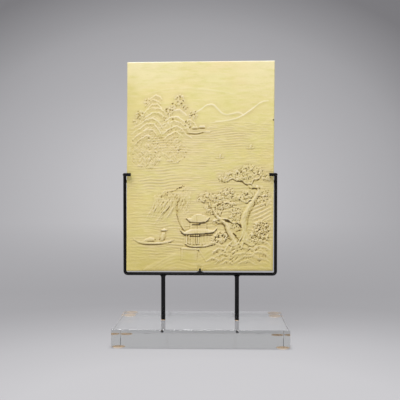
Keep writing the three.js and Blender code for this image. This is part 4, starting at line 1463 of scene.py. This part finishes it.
def pooling():
    """THINNEST on proud edges, OPEN_GROUND on level ground, 1 in hollows, faster the deeper they are: pooled
    glaze and painted shade in one number. The mean is taken a little higher up, so that painted shade gathers
    under an edge, as the light from above leaves it."""
    near = np.roll(neighbourhood_mean(carving.height, 2), -SHADE_SHIFT_CELLS, axis=0) - carving.height
    wide = neighbourhood_mean(carving.height, 7) - carving.height
    sunk = near + WIDE_SHARE * wide
    gain = np.where(sunk > 0, HOLLOW_GAIN + DEEP_GAIN * sunk, CREST_GAIN)
    return np.clip(OPEN_GROUND + gain * sunk + carving.glaze, THINNEST, 1)


def crowding():
    """0 on calm ground, 1 where the carving is full of small forms."""
    rough = np.abs(neighbourhood_mean(carving.height, 2) - carving.height)
    return np.clip(CROWD_GAIN * neighbourhood_mean(rough, 5), 0, 1)


def with_rim(values, points, top, sides):
    """The values of the face, then one value for the top rim and one for the other three."""
    rim = np.where(points[values.size :, 2] > SLAB_TALL - ARRIS, top, sides)
    return np.concatenate([values.ravel(), rim])


pooled, crowded = pooling(), crowding()
print(f"glaze from {pooled.min():.2f} to {pooled.max():.2f}, {pooled.mean():.2f} on average")

# %% [markdown]
# ## The plaque's mesh
# The carved grid is the front. Its border is carried round the arris, back over the edge and round the rear
# arris as rings.

# %% The plaque's mesh
ARRIS_STEPS = 3
FACE_Y = SLAB_HIGH[1] - THICKNESS
MIDDLE_X = SLAB_LOW[0] + SLAB_WIDTH / 2 + LEAN * LEAN_PIVOT
BOTTOM_Z = SLAB_LOW[2] + SLOPE * SLAB_WIDTH / 2


def slab_rings():
    """(outward shift, depth behind the face) of each ring from the front border to the back one, in mm."""
    angles = np.linspace(0, np.pi / 2, ARRIS_STEPS + 1)[1:]
    front = [(ARRIS * np.sin(a), ARRIS * (1 - np.cos(a))) for a in angles]
    return front + [(out, THICKNESS - back) for out, back in reversed([(0.0, 0.0), *front])]


def carved_plaque():
    """Front grid and the rings round the four sides."""
    rows, columns = ROWS + 1, COLUMNS + 1
    index = np.arange(rows * columns).reshape(rows, columns)
    face = np.column_stack([carving.u.ravel(), -carving.height.ravel(), carving.v.ravel()])
    quads = np.stack([index[:-1, :-1], index[:-1, 1:], index[1:, 1:], index[1:, :-1]], -1).reshape(-1, 4)
    border = np.concatenate([index[0, :-1], index[:-1, -1], index[-1, :0:-1], index[:0:-1, 0]])
    grid_row, grid_column = np.divmod(border, columns)
    out_u = np.where(grid_column == 0, -1, np.where(grid_column == COLUMNS, 1, 0))
    out_v = np.where(grid_row == 0, -1, np.where(grid_row == ROWS, 1, 0))
    points, faces, previous = [face], [quads], border
    count = len(face)
    for shift, depth in slab_rings():
        ring = np.column_stack([face[border, 0] + out_u * shift, np.full(len(border), depth),
                                face[border, 2] + out_v * shift])
        here = count + np.arange(len(border))
        faces.append(np.column_stack([previous, here, np.roll(here, -1), np.roll(previous, -1)]))
        points.append(ring)
        previous, count = here, count + len(border)
    return np.vstack(points), [f.tolist() for f in faces], previous


points, faces, back_ring = carved_plaque()
print(len(points), "points", len(back_ring), "round the rim")

# %% [markdown]
# ## The back and the place
# The back is flat, so strips from side to side close it. The slab then goes to its place in the frame, where
# its sides lean and its ends slope a little. Both attributes of the glaze, the first with its painted shade
# and a painted highlight on the top rim, and a third that tells the biscuit back from the face, are stored
# on its points.


# %% Close the back and place the plaque
GLAZE_ENDS = 0.8
GLAZE_FADE = 0.15


def back_faces(ring):
    """Strips from the left side of the back ring to the right side, and one polygon at each end."""
    left = np.concatenate([[ring[0]], ring[: -ROWS - 1 : -1]])
    right = ring[COLUMNS : COLUMNS + ROWS + 1]
    strips = np.column_stack([left[1:-2], left[2:-1], right[2:-1], right[1:-2]])
    bottom = [left[0], left[1], right[1], *ring[COLUMNS:0:-1]]
    top = [left[-2], left[-1], *ring[2 * COLUMNS + ROWS - 1 : COLUMNS + ROWS - 1 : -1], right[-2]]
    return strips.tolist(), [[int(i) for i in bottom], [int(i) for i in top]]


def place(points):
    """Slab millimetres to metres in the frame: the sides lean by LEAN and the ends slope by SLOPE."""
    u, depth, v = points.T
    leaning = MIDDLE_X + u + LEAN * (v - LEAN_PIVOT)
    return np.column_stack([leaning, FACE_Y + depth, BOTTOM_Z + v + SLOPE * u]) * MM


def store(mesh, name, values):
    """One number for each vertex, which a material reads by its name."""
    attribute = mesh.attributes.new(name, "FLOAT", "POINT")
    attribute.data.foreach_set("value", values.astype(np.float32))


strips, ends = back_faces(back_ring)
mesh = bpy.data.meshes.new("carved_plaque")
mesh.from_pydata(place(points).tolist(), [], [f for group in faces for f in group] + strips + ends)
mesh.shade_smooth()
# Pooled glaze with painted shade on the face; thin glaze on the rims, palest on the top rim as a painted
# highlight.
store(mesh, "pooling", with_rim(pooled, points, THIN_LIT_TOP_RIM, GLAZED_RIM))
store(mesh, "crowded", with_rim(crowded, points, 0.0, 0.0))
store(mesh, "biscuit", np.clip((points[:, 1] / THICKNESS - GLAZE_ENDS) / GLAZE_FADE, 0, 1))
carved = bpy.data.objects.new("carved_plaque", mesh)
bpy.context.scene.collection.objects.link(carved)
carved.data.materials.append(GLAZE)
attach(carved, "tablet")
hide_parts("plaque")
print("carved plaque of", len(mesh.polygons), "faces")

# %% [markdown]
